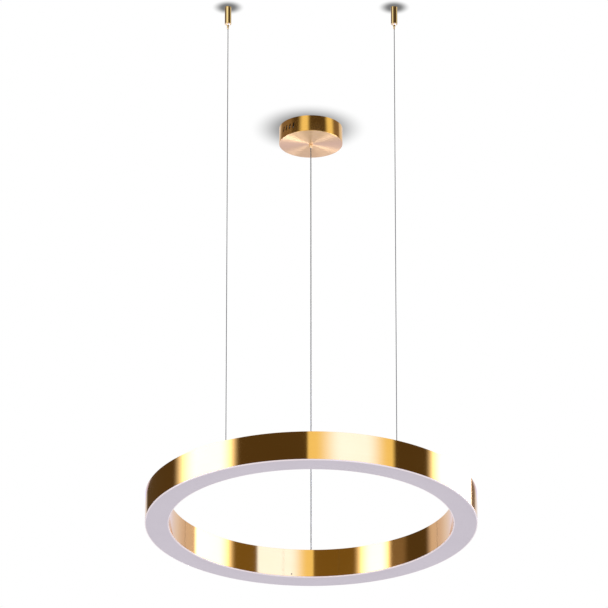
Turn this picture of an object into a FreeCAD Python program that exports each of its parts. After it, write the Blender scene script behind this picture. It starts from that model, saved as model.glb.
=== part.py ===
"""A ring pendant lamp: a brass channel ring with an opal underside, hung level on two
steel ropes and one power cable.

The two ropes run up into spring-loaded rope grips screwed to the ceiling. The power cable
runs up into a round canopy that holds the driver. Everything is in millimetres, +Z is up,
and the origin is on the ceiling plane at the centre of the canopy. The ring hangs towards
-Y of it, with its rear suspension point straight below the origin.
"""
import FreeCAD
import Part
import math
import os

Vector = FreeCAD.Vector
X_AXIS = Vector(1, 0, 0)
Y_AXIS = Vector(0, 1, 0)
Z_AXIS = Vector(0, 0, 1)
ORIGIN = Vector(0, 0, 0)
OVERSHOOT = 1.0              # how far a cutter runs past the face it breaks through
SAME = 1e-6                  # lengths nearer than this are equal
FILLET_SHARE = 0.9           # the most of a wall's thickness that its rounding may take

# ---- hang -------------------------------------------------------------------------------
RING_DROP = 870.0            # ceiling to the top edge of the ring
FRONT_HALF_ANGLE = 33.0      # each front rope, degrees round from the ring's front point
SWING_LIMIT = 15.0           # degrees that a rope may lean in its guides

# ---- ring: channel section --------------------------------------------------------------
RING_OUTER_R = 300.0
SECTION_W = 43.0
BAND_H = 53.0
BAND_T = 1.2
FLANGE_W = 6.0
COVER_T = 1.5
COVER_GAP = 0.3

# ---- ring: brackets, screws and light source --------------------------------------------
BRACKET_T = 2.0
BRACKET_LEG_H = 28.0
BRACKET_HALF_DEG = 2.2
HANGER_HALF_DEG = 4.0
REAR_HANGER_HALF_DEG = 5.5   # longer, because it also holds a terminal block
WELD_GAP = 0.1
CARRIER_T = 2.0
CARRIER_EDGE_GAP = 4.0       # carrier edge to band
CARRIER_END_GAP_DEG = 0.6    # carrier end to hanger bracket
BOARD_W = 18.0
BOARD_T = 1.6
LED_LENGTH = 3.5
LED_WIDTH = 2.8
LED_T = 0.8
LED_PITCH_DEG = 3.0
M3_R = 1.45
SCREW_GAP = 0.05
SCREW_HEAD_STEP = 1.3        # head beyond the shank
SCREW_HEAD_H = 1.9
SCREW_KEY_R = 1.2
SCREW_KEY_DEPTH = 1.0
CARRIER_SCREW_INSET = 2.8    # carrier screws in from the carrier's inner edge
SIDE_BRACKET_COUNT = 3       # plain brackets between the rear and a front suspension point
FRONT_BRACKET_COUNT = 1      # and between the two front ones

# ---- ring: diffuser ---------------------------------------------------------------------
DIFFUSER_T = 2.0
DIFFUSER_GAP = 0.3
DIFFUSER_ROUND = 0.8
RIB_H = 8.0
RIB_T = 2.0
SET_SCREW_R = 1.2
SET_SCREW_L = 2.6
SET_SCREW_RISE = 4.0         # above the brass bottom edge
SET_SCREW_KEY_R = 0.65
SET_SCREW_ANGLES = (98.0, 218.0, 338.0)

# ---- ropes and power cable --------------------------------------------------------------
ROPE_R = 0.75
CABLE_R = 1.0
CRIMP_GAP = 0.02
ROPE_BALL_R = 2.5
CABLE_BALL_R = 3.0
BALL_GAP = 0.1
MOUTH_GAP = 0.25
TAIL_GAP = 0.3               # swinging end to the fixed tail inside its guide
REAR_BALL_RISE = 3.0         # the cable's ball sits this much above the ropes' balls

# ---- rope bushings and cable gland on the ring ------------------------------------------
BALL_DEPTH = 6.0             # ball centre below the top of its bushing
BUSHING_STAND = 5.0          # bushing top above the cover
BUSHING_HEAD_H = 3.0
BUSHING_WALL = 1.4           # shank beyond the ball's bore
BUSHING_NECK_STEP = 0.6      # neck beyond the shank
BUSHING_HEAD_STEP = 2.0      # head beyond the shank
NUT_T = 4.0
NUT_WALL = 2.5               # hexagon corner beyond the thread
THREAD_GAP = 0.05
SHANK_PROUD = 1.0

# ---- ring wiring ------------------------------------------------------------------------
RING_BLOCK_L = 12.0
RING_BLOCK_W = 14.0
RING_BLOCK_H = 9.0
RING_BLOCK_GAP = 0.8
WIRE_R = 0.7
WIRE_BEND_R = 2.0
WIRE_DROP = 3.0              # wires pass this far below the boards
WIRE_BALL_GAP = 0.6          # cable ball to the cores below it
WIRE_BLOCK_DROP = 4.0        # cores pass this far below the terminal block
JUMPER_REACH_DEG = 1.2       # how far a jumper overlaps each board
JUMPER_INSET = 1.5           # jumpers run this far in from the board's inner edge
BLOCK_WIRE_REACH = 3.4       # how far the block's wires overlap the boards
RIGHT_WIRE_Y = -5.5
LEFT_WIRE_Y = -10.0

# ---- rope grips on the ceiling ----------------------------------------------------------
SLEEVE_R = 6.0
SLEEVE_L = 34.0              # ceiling to the sleeve's lower end
SLEEVE_FLOOR = 2.0
SLEEVE_WALL = 1.4            # round the socket's thread
NOSE_H = 2.0
NOSE_WALL = 0.45             # at its lower edge
NOSE_FLARE = 0.7
SOCKET_FLANGE_T = 1.5
SOCKET_L = 10.0
SOCKET_HOLE_R = 2.1
SOCKET_SINK_STEP = 1.9       # countersink beyond the hole
PLUNGER_WALL = 0.95
ROPE_GUIDE_GAP = 0.2
PLUNGER_GAP = 0.08
PLUNGER_GRIP_L = 5.5         # what still stands out with the plunger pushed in
PLUNGER_CHAMFER = 0.4
PLUNGER_COLLAR_H = 1.2
PLUNGER_TOP_RISE = 4.6       # plunger top above the ball centres
COLLAR_GAP = 0.25
RELEASE_TRAVEL = 2.5
GRIP_BALL_R = 1.05
GRIP_BALL_RISE = 5.2         # grip ball centres above the sleeve's floor
GRIP_BALL_GAP = 0.05
GRIP_BALL_ANGLES = (90.0, 210.0, 330.0)
CONE_GAP = 0.3               # grip ball to the wedge cone
CONE_SLOPE = 0.105           # radius gained per length
CONE_L = 9.0
CONE_RISE = 3.0              # throat above the sleeve's floor
SPRING_WIRE_R = 0.3
SPRING_TURNS = 4
SPRING_END_GAP = 0.1

# ---- canopy -----------------------------------------------------------------------------
CANOPY_R = 60.0
CANOPY_H = 32.0
CANOPY_T = 1.0
CANOPY_FLOOR_T = 1.2
CANOPY_ROUND = 0.6
VENT_COUNT = 4
VENT_PITCH_DEG = 8.3
VENT_MIDDLE_DEG = 46.0       # round from the front, on the left; the second row is opposite
VENT_W = 2.2
VENT_L = 11.0
VENT_SLANT = 15.0
GLAND_WALL = 1.0             # round the threaded tube
GLAND_TIP_R = 2.4
TUBE_R = 2.5
TUBE_BORE_GAP = 0.35
TUBE_IN_GLAND = 4.0
TUBE_NUT_T = 3.0
COLLAR_WALL = 1.6
COLLAR_H = 4.0

# ---- canopy: mounting plate, driver and wiring ------------------------------------------
PLATE_T = 2.0
STRAP_W = 22.0
STRAP_GAP = 12.0             # strap end to the canopy wall
SLOT_INSET = 12.0            # slot centre in from the strap's end
SLOT_R = 2.5
SLOT_L = 12.0
BRIDGE_HALF_L = 14.0
BRIDGE_W = 16.0
BRIDGE_FLOOR_GAP = 6.0       # bridge web above the canopy floor
FRONT_WING_W = 34.0
FRONT_WING_L = 21.0
WING_EDGE = 3.0              # rear wing beyond the driver
WING_END = 10.0              # rear wing shorter than the driver, each end
DRIVER_W = 26.0
DRIVER_H = 18.0
DRIVER_GAP = 3.0             # driver corner to the canopy wall
DRIVER_STRAP_GAP = 2.0
DRIVER_ROUND = 2.5
DRIVER_SCREW_INSET = 6.0
BLOCK_L = 26.0
BLOCK_W = 14.0
BLOCK_H = 11.0
BLOCK_EDGE = 2.0
BLOCK_POLES = 3
BLOCK_HOLE_R = 1.6
LEAD_R = 1.3
LEAD_LEVEL = 8.5             # below the ceiling
LEAD_INSET = 9.0             # in from the driver's end
LEAD_BEND_R = 6.0
TAIL_BEND_R = 4.0
TAIL_BEND_GAP = 0.5

# ---- places worked out from the sizes above ---------------------------------------------
RING_INNER_R = RING_OUTER_R - SECTION_W
RING_MID_R = (RING_OUTER_R + RING_INNER_R) / 2
RING_CENTRE = Vector(0, -RING_MID_R, 0)
CARRIER_INNER_R = RING_INNER_R + BAND_T + CARRIER_EDGE_GAP
CARRIER_OUTER_R = RING_OUTER_R - BAND_T - CARRIER_EDGE_GAP
BOARD_INNER_R = RING_MID_R - BOARD_W / 2
BOARD_OUTER_R = RING_MID_R + BOARD_W / 2
REAR_ANGLE = 90.0
LEFT_ANGLE = 270.0 - FRONT_HALF_ANGLE
RIGHT_ANGLE = 270.0 + FRONT_HALF_ANGLE
M3_HOLE_R = M3_R + SCREW_GAP

Z_RING_TOP = -RING_DROP
Z_BRASS_BOTTOM = Z_RING_TOP - BAND_H
Z_COVER_TOP = Z_RING_TOP - BAND_T
Z_COVER_BOTTOM = Z_COVER_TOP - COVER_T
Z_BRACKET_BOTTOM = Z_COVER_BOTTOM - BRACKET_T
Z_CARRIER_BOTTOM = Z_BRACKET_BOTTOM - CARRIER_T
Z_BOARD_BOTTOM = Z_CARRIER_BOTTOM - BOARD_T
Z_RING_BLOCK_BOTTOM = Z_BRACKET_BOTTOM - RING_BLOCK_H

ROPE_SHANK_R = ROPE_BALL_R + BALL_GAP + BUSHING_WALL
CABLE_SHANK_R = CABLE_BALL_R + BALL_GAP + BUSHING_WALL
RING_BLOCK_X = CABLE_SHANK_R + NUT_WALL + RING_BLOCK_GAP

PLUNGER_BORE_R = ROPE_R + ROPE_GUIDE_GAP
PLUNGER_R = PLUNGER_BORE_R + PLUNGER_WALL
PLUNGER_HOLE_R = PLUNGER_R + PLUNGER_GAP
SPRING_R = PLUNGER_R - SPRING_WIRE_R
GRIP_BALL_REACH = ROPE_R + GRIP_BALL_GAP + GRIP_BALL_R
CONE_AT_BALL_R = GRIP_BALL_REACH + GRIP_BALL_R + CONE_GAP
CONE_THROAT_R = CONE_AT_BALL_R - (GRIP_BALL_RISE - CONE_RISE) * CONE_SLOPE
GRIP_BORE_R = CONE_THROAT_R + CONE_L * CONE_SLOPE
SOCKET_R = SLEEVE_R - SLEEVE_WALL

Z_SLEEVE_BOTTOM = -SLEEVE_L
Z_SLEEVE_FLOOR = Z_SLEEVE_BOTTOM + SLEEVE_FLOOR
Z_ROPE_MOUTH = Z_SLEEVE_BOTTOM - NOSE_H - RELEASE_TRAVEL - PLUNGER_GRIP_L
Z_GRIP_BALLS = Z_SLEEVE_FLOOR + GRIP_BALL_RISE
Z_PLUNGER_TOP = Z_GRIP_BALLS + PLUNGER_TOP_RISE
Z_SOCKET_BOTTOM = -SOCKET_L
Z_ROPE_BALL = Z_COVER_TOP + BUSHING_STAND - BALL_DEPTH
Z_CABLE_BALL = Z_ROPE_BALL + REAR_BALL_RISE
Z_CABLE_MOUTH = Z_ROPE_MOUTH + REAR_BALL_RISE   # so that all three hang on equal lengths

CANOPY_INSIDE_R = CANOPY_R - CANOPY_T
Z_CANOPY_FLOOR = -CANOPY_H + CANOPY_FLOOR_T
Z_WEB_BOTTOM = Z_CANOPY_FLOOR + BRIDGE_FLOOR_GAP
Z_WEB_TOP = Z_WEB_BOTTOM + PLATE_T
Z_TUBE_TOP = Z_WEB_TOP + TUBE_NUT_T + SHANK_PROUD
Z_TUBE_BOTTOM = -CANOPY_H - TUBE_IN_GLAND
Z_COLLAR_TOP = Z_TUBE_TOP + COLLAR_H
Z_TAIL = Z_COLLAR_TOP + TAIL_BEND_GAP + TAIL_BEND_R
STRAP_HALF_L = CANOPY_INSIDE_R - STRAP_GAP
SLOT_X = STRAP_HALF_L - SLOT_INSET
DRIVER_FRONT_Y = STRAP_W / 2 + DRIVER_STRAP_GAP
DRIVER_BACK_Y = DRIVER_FRONT_Y + DRIVER_W
DRIVER_HALF_L = math.sqrt((CANOPY_INSIDE_R - DRIVER_GAP) ** 2 - DRIVER_BACK_Y ** 2)
REAR_WING_HALF_L = DRIVER_HALF_L - WING_END
BLOCK_FRONT_Y = -STRAP_W / 2 - FRONT_WING_L + BLOCK_EDGE

# each board arc: its start and end angle, the hanger bracket's half angle at each end,
# and how many plain brackets stand between them
LED_ARCS = {
    "left": (REAR_ANGLE, LEFT_ANGLE, REAR_HANGER_HALF_DEG, HANGER_HALF_DEG, SIDE_BRACKET_COUNT),
    "front": (LEFT_ANGLE, RIGHT_ANGLE, HANGER_HALF_DEG, HANGER_HALF_DEG, FRONT_BRACKET_COUNT),
    "right": (RIGHT_ANGLE, REAR_ANGLE + 360.0, HANGER_HALF_DEG, REAR_HANGER_HALF_DEG,
              SIDE_BRACKET_COUNT),
}


# ---- helpers ----------------------------------------------------------------------------
def outward(angle):
    """The level direction away from the ring's axis at an angle."""
    turn = math.radians(angle)
    return Vector(math.cos(turn), math.sin(turn), 0)


def at_ring(angle, radius=RING_MID_R, z=0.0):
    """The point at an angle and a radius round the ring's axis."""
    return RING_CENTRE + outward(angle) * radius + Vector(0, 0, z)


def revolved(outline, centre, start=0.0, sweep=360.0):
    """A solid turned about the vertical through centre, from (radius, z) corners."""
    corners = [Vector(r, 0, z) for r, z in outline]
    face = Part.Face(Part.makePolygon(corners + corners[:1]))
    solid = face.revolve(ORIGIN, Z_AXIS, sweep)
    solid.rotate(ORIGIN, Z_AXIS, start)
    solid.translate(centre)
    return solid


def rod(radius, low, high, place=ORIGIN):
    """An upright round bar between two heights."""
    return Part.makeCylinder(radius, high - low, Vector(place.x, place.y, low))


def cone(low_radius, high_radius, low, high, place=ORIGIN):
    """An upright cone between two heights."""
    return Part.makeCone(low_radius, high_radius, high - low, Vector(place.x, place.y, low))


def block(x0, x1, y0, y1, z0, z1):
    """A box between two corners."""
    return Part.makeBox(x1 - x0, y1 - y0, z1 - z0, Vector(x0, y0, z0))


def hexagon(corner_radius, low, high, place=ORIGIN):
    """An upright hexagonal bar."""
    turns = [math.radians(a) for a in range(0, 360, 60)]
    corners = [
        Vector(place.x + corner_radius * math.cos(t), place.y + corner_radius * math.sin(t), low)
        for t in turns
    ]
    face = Part.Face(Part.makePolygon(corners + corners[:1]))
    return face.extrude(Vector(0, 0, high - low))


def joined(solid, others):
    """One solid out of several that meet."""
    return solid.fuse(others).removeSplitter()


def corner_arc(start, corner, end):
    """The arc that touches both legs of a corner at start and end."""
    back = start - corner
    ahead = end - corner
    half = back.getAngle(ahead) / 2
    radius = back.Length * math.tan(half)
    towards_centre = (back + ahead).normalize()
    middle = corner + towards_centre * (radius / math.sin(half) - radius)
    return Part.Arc(start, middle, end).toShape()


def rounded_route(points, bend_radius):
    """A wire of straight runs through the points, with one arc at each corner."""
    edges = []
    start = points[0]
    for before, corner, after in zip(points, points[1:], points[2:]):
        back = (before - corner).normalize()
        ahead = (after - corner).normalize()
        inset = bend_radius / math.tan(back.getAngle(ahead) / 2)
        edges.append(Part.LineSegment(start, corner + back * inset).toShape())
        start = corner + ahead * inset
        edges.append(corner_arc(corner + back * inset, corner, start))
    edges.append(Part.LineSegment(start, points[-1]).toShape())
    return Part.Wire(edges)


def tube_along(points, radius, bend_radius):
    """A round lead along rounded_route."""
    end = Part.Wire(Part.makeCircle(radius, points[0], points[1] - points[0]))
    return rounded_route(points, bend_radius).makePipeShell([end], True, False)


def biarc(start, start_way, end, end_way):
    """Two arcs that leave start along start_way and reach end along end_way."""
    chord = end - start
    ways = start_way + end_way
    a = ways.dot(ways) - 4
    b = -2 * chord.dot(ways)
    leg = (-b - math.sqrt(b * b - 4 * a * chord.dot(chord))) / (2 * a)
    first = start + start_way * leg
    second = end - end_way * leg
    middle = (first + second) / 2
    return [corner_arc(start, first, middle), corner_arc(middle, second, end)]


def export(name, shape):
    """Writes one node."""
    shape.exportStep(os.path.join("parts", name + ".step"))


# ---- ring: shell ------------------------------------------------------------------------
def outer_band():
    """The outer wall with its inward top flange."""
    wall = RING_OUTER_R - BAND_T
    return revolved([
        (RING_OUTER_R, Z_BRASS_BOTTOM), (RING_OUTER_R, Z_RING_TOP),
        (wall - FLANGE_W, Z_RING_TOP), (wall - FLANGE_W, Z_COVER_TOP),
        (wall, Z_COVER_TOP), (wall, Z_BRASS_BOTTOM),
    ], RING_CENTRE)


def set_screw_cutter(angle):
    """A radial hole through the inner wall and the diffuser's rib."""
    start = at_ring(angle, RING_INNER_R - BAND_T, Z_BRASS_BOTTOM + SET_SCREW_RISE)
    return Part.makeCylinder(SET_SCREW_R + SCREW_GAP, BAND_T + SET_SCREW_L + BAND_T,
                             start, outward(angle))


def inner_band():
    """The inner wall with its outward top flange and the set-screw holes."""
    wall = RING_INNER_R + BAND_T
    band = revolved([
        (RING_INNER_R, Z_BRASS_BOTTOM), (wall, Z_BRASS_BOTTOM),
        (wall, Z_COVER_TOP), (wall + FLANGE_W, Z_COVER_TOP),
        (wall + FLANGE_W, Z_RING_TOP), (RING_INNER_R, Z_RING_TOP),
    ], RING_CENTRE)
    return band.cut([set_screw_cutter(a) for a in SET_SCREW_ANGLES])


def plain_bracket_angles():
    """The brackets between the suspension points, evenly spaced in each arc."""
    angles = []
    for start, end, _, _, count in LED_ARCS.values():
        step = (end - start) / (count + 1)
        angles += [start + step * (i + 1) for i in range(count)]
    return angles


def plate_hole(place, radius, low, high):
    """A cutter for an upright hole right through a level plate."""
    return rod(radius, low - OVERSHOOT, high + OVERSHOOT, place)


def top_cover():
    """The annular plate under the flanges, drilled for screws, bushings and gland."""
    inner = RING_INNER_R + BAND_T + COVER_GAP
    outer = RING_OUTER_R - BAND_T - COVER_GAP
    plate = revolved([
        (inner, Z_COVER_BOTTOM), (outer, Z_COVER_BOTTOM),
        (outer, Z_COVER_TOP), (inner, Z_COVER_TOP),
    ], RING_CENTRE)
    holes = [(a, M3_HOLE_R) for a in plain_bracket_angles()]
    holes += [(a, ROPE_SHANK_R + THREAD_GAP) for a in (LEFT_ANGLE, RIGHT_ANGLE)]
    holes += [(REAR_ANGLE, CABLE_SHANK_R + THREAD_GAP)]
    return plate.cut([plate_hole(at_ring(a), r, Z_COVER_BOTTOM, Z_COVER_TOP)
                      for a, r in holes])


def bracket(angle, half_angle):
    """One inverted U across the channel."""
    inner = RING_INNER_R + BAND_T + WELD_GAP
    outer = RING_OUTER_R - BAND_T - WELD_GAP
    foot = Z_COVER_BOTTOM - BRACKET_LEG_H
    return revolved([
        (inner, foot), (inner + BRACKET_T, foot),
        (inner + BRACKET_T, Z_BRACKET_BOTTOM), (outer - BRACKET_T, Z_BRACKET_BOTTOM),
        (outer - BRACKET_T, foot), (outer, foot),
        (outer, Z_COVER_BOTTOM), (inner, Z_COVER_BOTTOM),
    ], RING_CENTRE, angle - half_angle, 2 * half_angle)


def carrier_screw_place(angle):
    """Where a carrier screw stands at a plain bracket."""
    return at_ring(angle, CARRIER_INNER_R + CARRIER_SCREW_INSET)


def section_brackets():
    """The plain brackets, each with a cover-screw and a carrier-screw hole."""
    solids = []
    for angle in plain_bracket_angles():
        holes = [
            plate_hole(place, M3_HOLE_R, Z_BRACKET_BOTTOM, Z_COVER_BOTTOM)
            for place in (at_ring(angle), carrier_screw_place(angle))
        ]
        solids.append(bracket(angle, BRACKET_HALF_DEG).cut(holes))
    return Part.makeCompound(solids)


def hanger_brackets():
    """The three brackets that the bushings and the gland hang from."""
    solids = []
    for angle, half_angle, shank in (
        (LEFT_ANGLE, HANGER_HALF_DEG, ROPE_SHANK_R),
        (RIGHT_ANGLE, HANGER_HALF_DEG, ROPE_SHANK_R),
        (REAR_ANGLE, REAR_HANGER_HALF_DEG, CABLE_SHANK_R),
    ):
        hole = plate_hole(at_ring(angle), shank + THREAD_GAP, Z_BRACKET_BOTTOM, Z_COVER_BOTTOM)
        solids.append(bracket(angle, half_angle).cut(hole))
    return Part.makeCompound(solids)


def screw(place, seat, length):
    """An M3 socket screw from above: the head on its seat, the shank below it."""
    head = rod(M3_R + SCREW_HEAD_STEP, seat, seat + SCREW_HEAD_H, place)
    shank = rod(M3_R, seat - length, seat, place)
    key = hexagon(SCREW_KEY_R, seat + SCREW_HEAD_H - SCREW_KEY_DEPTH, seat + SCREW_HEAD_H, place)
    return joined(head, [shank]).cut(key)


def screw_from_below(place, seat, length):
    """The same screw with its head under its seat."""
    solid = screw(place, seat, length)
    solid.rotate(Vector(place.x, place.y, seat), X_AXIS, 180)
    return solid


def cover_screws():
    """Screws from above, through the cover into the plain brackets."""
    return Part.makeCompound([screw(at_ring(a), Z_COVER_TOP, COVER_T + BRACKET_T)
                              for a in plain_bracket_angles()])


def carrier_screws():
    """Screws from below, through the carriers into the plain brackets."""
    return Part.makeCompound([
        screw_from_below(carrier_screw_place(a), Z_CARRIER_BOTTOM, CARRIER_T + BRACKET_T)
        for a in plain_bracket_angles()
    ])


# ---- ring: light source -----------------------------------------------------------------
def arc_limits(name):
    """Where one carrier starts and ends, in degrees, clear of the hanger brackets."""
    start, end, start_half, end_half, _ = LED_ARCS[name]
    return start + start_half + CARRIER_END_GAP_DEG, end - end_half - CARRIER_END_GAP_DEG


def led_carrier(name):
    """One aluminium arc under the brackets."""
    low, high = arc_limits(name)
    plate = revolved([
        (CARRIER_INNER_R, Z_CARRIER_BOTTOM), (CARRIER_OUTER_R, Z_CARRIER_BOTTOM),
        (CARRIER_OUTER_R, Z_BRACKET_BOTTOM), (CARRIER_INNER_R, Z_BRACKET_BOTTOM),
    ], RING_CENTRE, low, high - low)
    return plate.cut([
        plate_hole(carrier_screw_place(a), M3_HOLE_R, Z_CARRIER_BOTTOM, Z_BRACKET_BOTTOM)
        for a in plain_bracket_angles() if low < a < high
    ])


def led_board(name):
    """One circuit-board arc on the underside of its carrier."""
    low, high = arc_limits(name)
    return revolved([
        (BOARD_INNER_R, Z_BOARD_BOTTOM), (BOARD_OUTER_R, Z_BOARD_BOTTOM),
        (BOARD_OUTER_R, Z_CARRIER_BOTTOM), (BOARD_INNER_R, Z_CARRIER_BOTTOM),
    ], RING_CENTRE, low, high - low)


def led_chips(name):
    """The light-emitting packages of one board, evenly spaced."""
    low, high = arc_limits(name)
    count = int((high - low) / LED_PITCH_DEG)
    first = (low + high - (count - 1) * LED_PITCH_DEG) / 2
    chips = []
    for i in range(count):
        angle = first + i * LED_PITCH_DEG
        chip = block(-LED_LENGTH / 2, LED_LENGTH / 2, -LED_WIDTH / 2, LED_WIDTH / 2,
                     Z_BOARD_BOTTOM - LED_T, Z_BOARD_BOTTOM)
        chip.rotate(ORIGIN, Z_AXIS, angle)
        chip.translate(at_ring(angle))
        chips.append(chip)
    return Part.makeCompound(chips)


# ---- ring: diffuser ---------------------------------------------------------------------
def diffuser():
    """The opal channel that closes the underside, flush with both walls."""
    low = Z_BRASS_BOTTOM - DIFFUSER_T
    rib_in = RING_INNER_R + BAND_T + DIFFUSER_GAP
    rib_out = RING_OUTER_R - BAND_T - DIFFUSER_GAP
    rib_top = Z_BRASS_BOTTOM + RIB_H
    body = revolved([
        (RING_INNER_R, low), (RING_OUTER_R, low), (RING_OUTER_R, Z_BRASS_BOTTOM),
        (rib_out, Z_BRASS_BOTTOM), (rib_out, rib_top), (rib_out - RIB_T, rib_top),
        (rib_out - RIB_T, Z_BRASS_BOTTOM), (rib_in + RIB_T, Z_BRASS_BOTTOM),
        (rib_in + RIB_T, rib_top), (rib_in, rib_top), (rib_in, Z_BRASS_BOTTOM),
        (RING_INNER_R, Z_BRASS_BOTTOM),
    ], RING_CENTRE)
    low_edges = [
        e for e in body.Edges
        if isinstance(e.Curve, Part.Circle) and abs(e.BoundBox.ZMin - low) < SAME
        and abs(e.BoundBox.ZMax - low) < SAME
    ]
    body = body.makeFillet(min(DIFFUSER_ROUND, FILLET_SHARE * DIFFUSER_T), low_edges)
    return body.cut([set_screw_cutter(a) for a in SET_SCREW_ANGLES])


def set_screws():
    """Headless screws through the inner wall that hold the diffuser's rib."""
    solids = []
    for angle in SET_SCREW_ANGLES:
        face = at_ring(angle, RING_INNER_R, Z_BRASS_BOTTOM + SET_SCREW_RISE)
        body = Part.makeCylinder(SET_SCREW_R, SET_SCREW_L, face, outward(angle))
        key = Part.makeCylinder(SET_SCREW_KEY_R, SET_SCREW_L / 2, face, outward(angle))
        solids.append(body.cut(key))
    return Part.makeCompound(solids)


# ---- suspension fittings on the ring ----------------------------------------------------
def ball_cavity(line_radius, ball_radius, z_ball, z_bottom, z_top, place):
    """The room for a ball, open below, and for the line leaving it up to the swing limit."""
    lean = math.radians(SWING_LIMIT)
    at_ball = line_radius / math.cos(lean) + MOUTH_GAP
    above = z_top + OVERSHOOT - z_ball
    trumpet = cone(at_ball, at_ball + above * math.tan(lean), z_ball, z_ball + above, place)
    seat = Part.makeSphere(ball_radius + BALL_GAP, Vector(place.x, place.y, z_ball))
    return trumpet.fuse([seat, rod(ball_radius + BALL_GAP, z_bottom - OVERSHOOT, z_ball, place)])


def ring_bushing(angle, z_ball, line_radius, ball_radius, shank_r):
    """A turned bushing with its head on the cover, hollowed for the ball."""
    place = at_ring(angle)
    top = z_ball + BALL_DEPTH
    bottom = Z_BRACKET_BOTTOM - NUT_T - SHANK_PROUD
    head_top = Z_COVER_TOP + BUSHING_HEAD_H
    body = joined(rod(shank_r + BUSHING_HEAD_STEP, Z_COVER_TOP, head_top, place), [
        rod(shank_r + BUSHING_NECK_STEP, head_top, top, place),
        rod(shank_r, bottom, Z_COVER_TOP, place),
    ])
    return body.cut(ball_cavity(line_radius, ball_radius, z_ball, bottom, top, place))


def nut(place, shank_r, low, high):
    """A hexagon nut round a shank."""
    hole = plate_hole(place, shank_r + THREAD_GAP, low, high)
    return hexagon(shank_r + NUT_WALL, low, high, place).cut(hole)


def ring_nut(angle, shank_r):
    """The nut under a hanger bracket."""
    return nut(at_ring(angle), shank_r, Z_BRACKET_BOTTOM - NUT_T, Z_BRACKET_BOTTOM)


def line_ball(angle, z_ball, ball_radius, line_radius):
    """The ball crimped on the lower end of a rope or of the cable."""
    hole = plate_hole(at_ring(angle), line_radius + CRIMP_GAP, z_ball - ball_radius,
                      z_ball + ball_radius)
    return Part.makeSphere(ball_radius, at_ring(angle, z=z_ball)).cut(hole)


def hanging_line(angle, z_ball, ball_radius, z_mouth, line_radius):
    """The straight rope or cable from its ball up to its mouth, with a rounded top end."""
    line = rod(line_radius, z_ball - ball_radius, z_mouth, at_ring(angle))
    return joined(line, [Part.makeSphere(line_radius, at_ring(angle, z=z_mouth))])


def ring_terminal_block():
    """The block under the rear hanger where the cable's cores meet the boards."""
    return block(RING_BLOCK_X, RING_BLOCK_X + RING_BLOCK_L, -RING_BLOCK_W / 2,
                 RING_BLOCK_W / 2, Z_RING_BLOCK_BOTTOM, Z_BRACKET_BOTTOM)


def cable_cores():
    """The cores from under the cable's ball to the ring's terminal block."""
    start = Z_CABLE_BALL - CABLE_BALL_R - WIRE_BALL_GAP
    level = Z_RING_BLOCK_BOTTOM - WIRE_BLOCK_DROP
    x = RING_BLOCK_X + RING_BLOCK_L / 2
    return tube_along([Vector(0, 0, start), Vector(0, 0, level), Vector(x, 0, level),
                       Vector(x, 0, Z_RING_BLOCK_BOTTOM)], WIRE_R, WIRE_BEND_R)


def board_jumpers():
    """The wires from board to board past the two front hangers."""
    reach = HANGER_HALF_DEG + CARRIER_END_GAP_DEG + JUMPER_REACH_DEG
    radius = BOARD_INNER_R + JUMPER_INSET
    level = Z_BOARD_BOTTOM - WIRE_DROP
    wires = []
    for angle in (LEFT_ANGLE, RIGHT_ANGLE):
        wires.append(tube_along([
            at_ring(angle - reach, radius, Z_BOARD_BOTTOM), at_ring(angle - reach, radius, level),
            at_ring(angle + reach, radius, level), at_ring(angle + reach, radius, Z_BOARD_BOTTOM),
        ], WIRE_R, WIRE_BEND_R))
    return Part.makeCompound(wires)


def block_wires():
    """The wires from the ring's terminal block to the boards on its right and left."""
    level = Z_BOARD_BOTTOM - WIRE_DROP
    clear = math.radians(REAR_HANGER_HALF_DEG + CARRIER_END_GAP_DEG)
    x = BOARD_OUTER_R * math.sin(clear) + BLOCK_WIRE_REACH
    block_end = RING_BLOCK_X + RING_BLOCK_L
    block_middle = RING_BLOCK_X + RING_BLOCK_L / 2
    right = tube_along([
        Vector(block_end, RIGHT_WIRE_Y, level), Vector(x, RIGHT_WIRE_Y, level),
        Vector(x, RIGHT_WIRE_Y, Z_BOARD_BOTTOM),
    ], WIRE_R, WIRE_BEND_R)
    left = tube_along([
        Vector(block_middle, -RING_BLOCK_W / 2, level), Vector(block_middle, LEFT_WIRE_Y, level),
        Vector(-x, LEFT_WIRE_Y, level), Vector(-x, LEFT_WIRE_Y, Z_BOARD_BOTTOM),
    ], WIRE_R, WIRE_BEND_R)
    return Part.makeCompound([right, left])


# ---- rope grips -------------------------------------------------------------------------
def anchor_socket(place):
    """The threaded plug that is screwed to the ceiling."""
    flange = rod(SLEEVE_R, -SOCKET_FLANGE_T, 0.0, place)
    plug = rod(SOCKET_R, Z_SOCKET_BOTTOM, -SOCKET_FLANGE_T, place)
    hole = plate_hole(place, SOCKET_HOLE_R, Z_SOCKET_BOTTOM, 0.0)
    sink = cone(SOCKET_HOLE_R + SOCKET_SINK_STEP, SOCKET_HOLE_R, Z_SOCKET_BOTTOM,
                Z_SOCKET_BOTTOM + SOCKET_SINK_STEP, place)
    return joined(flange, [plug]).cut([hole, sink])


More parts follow.
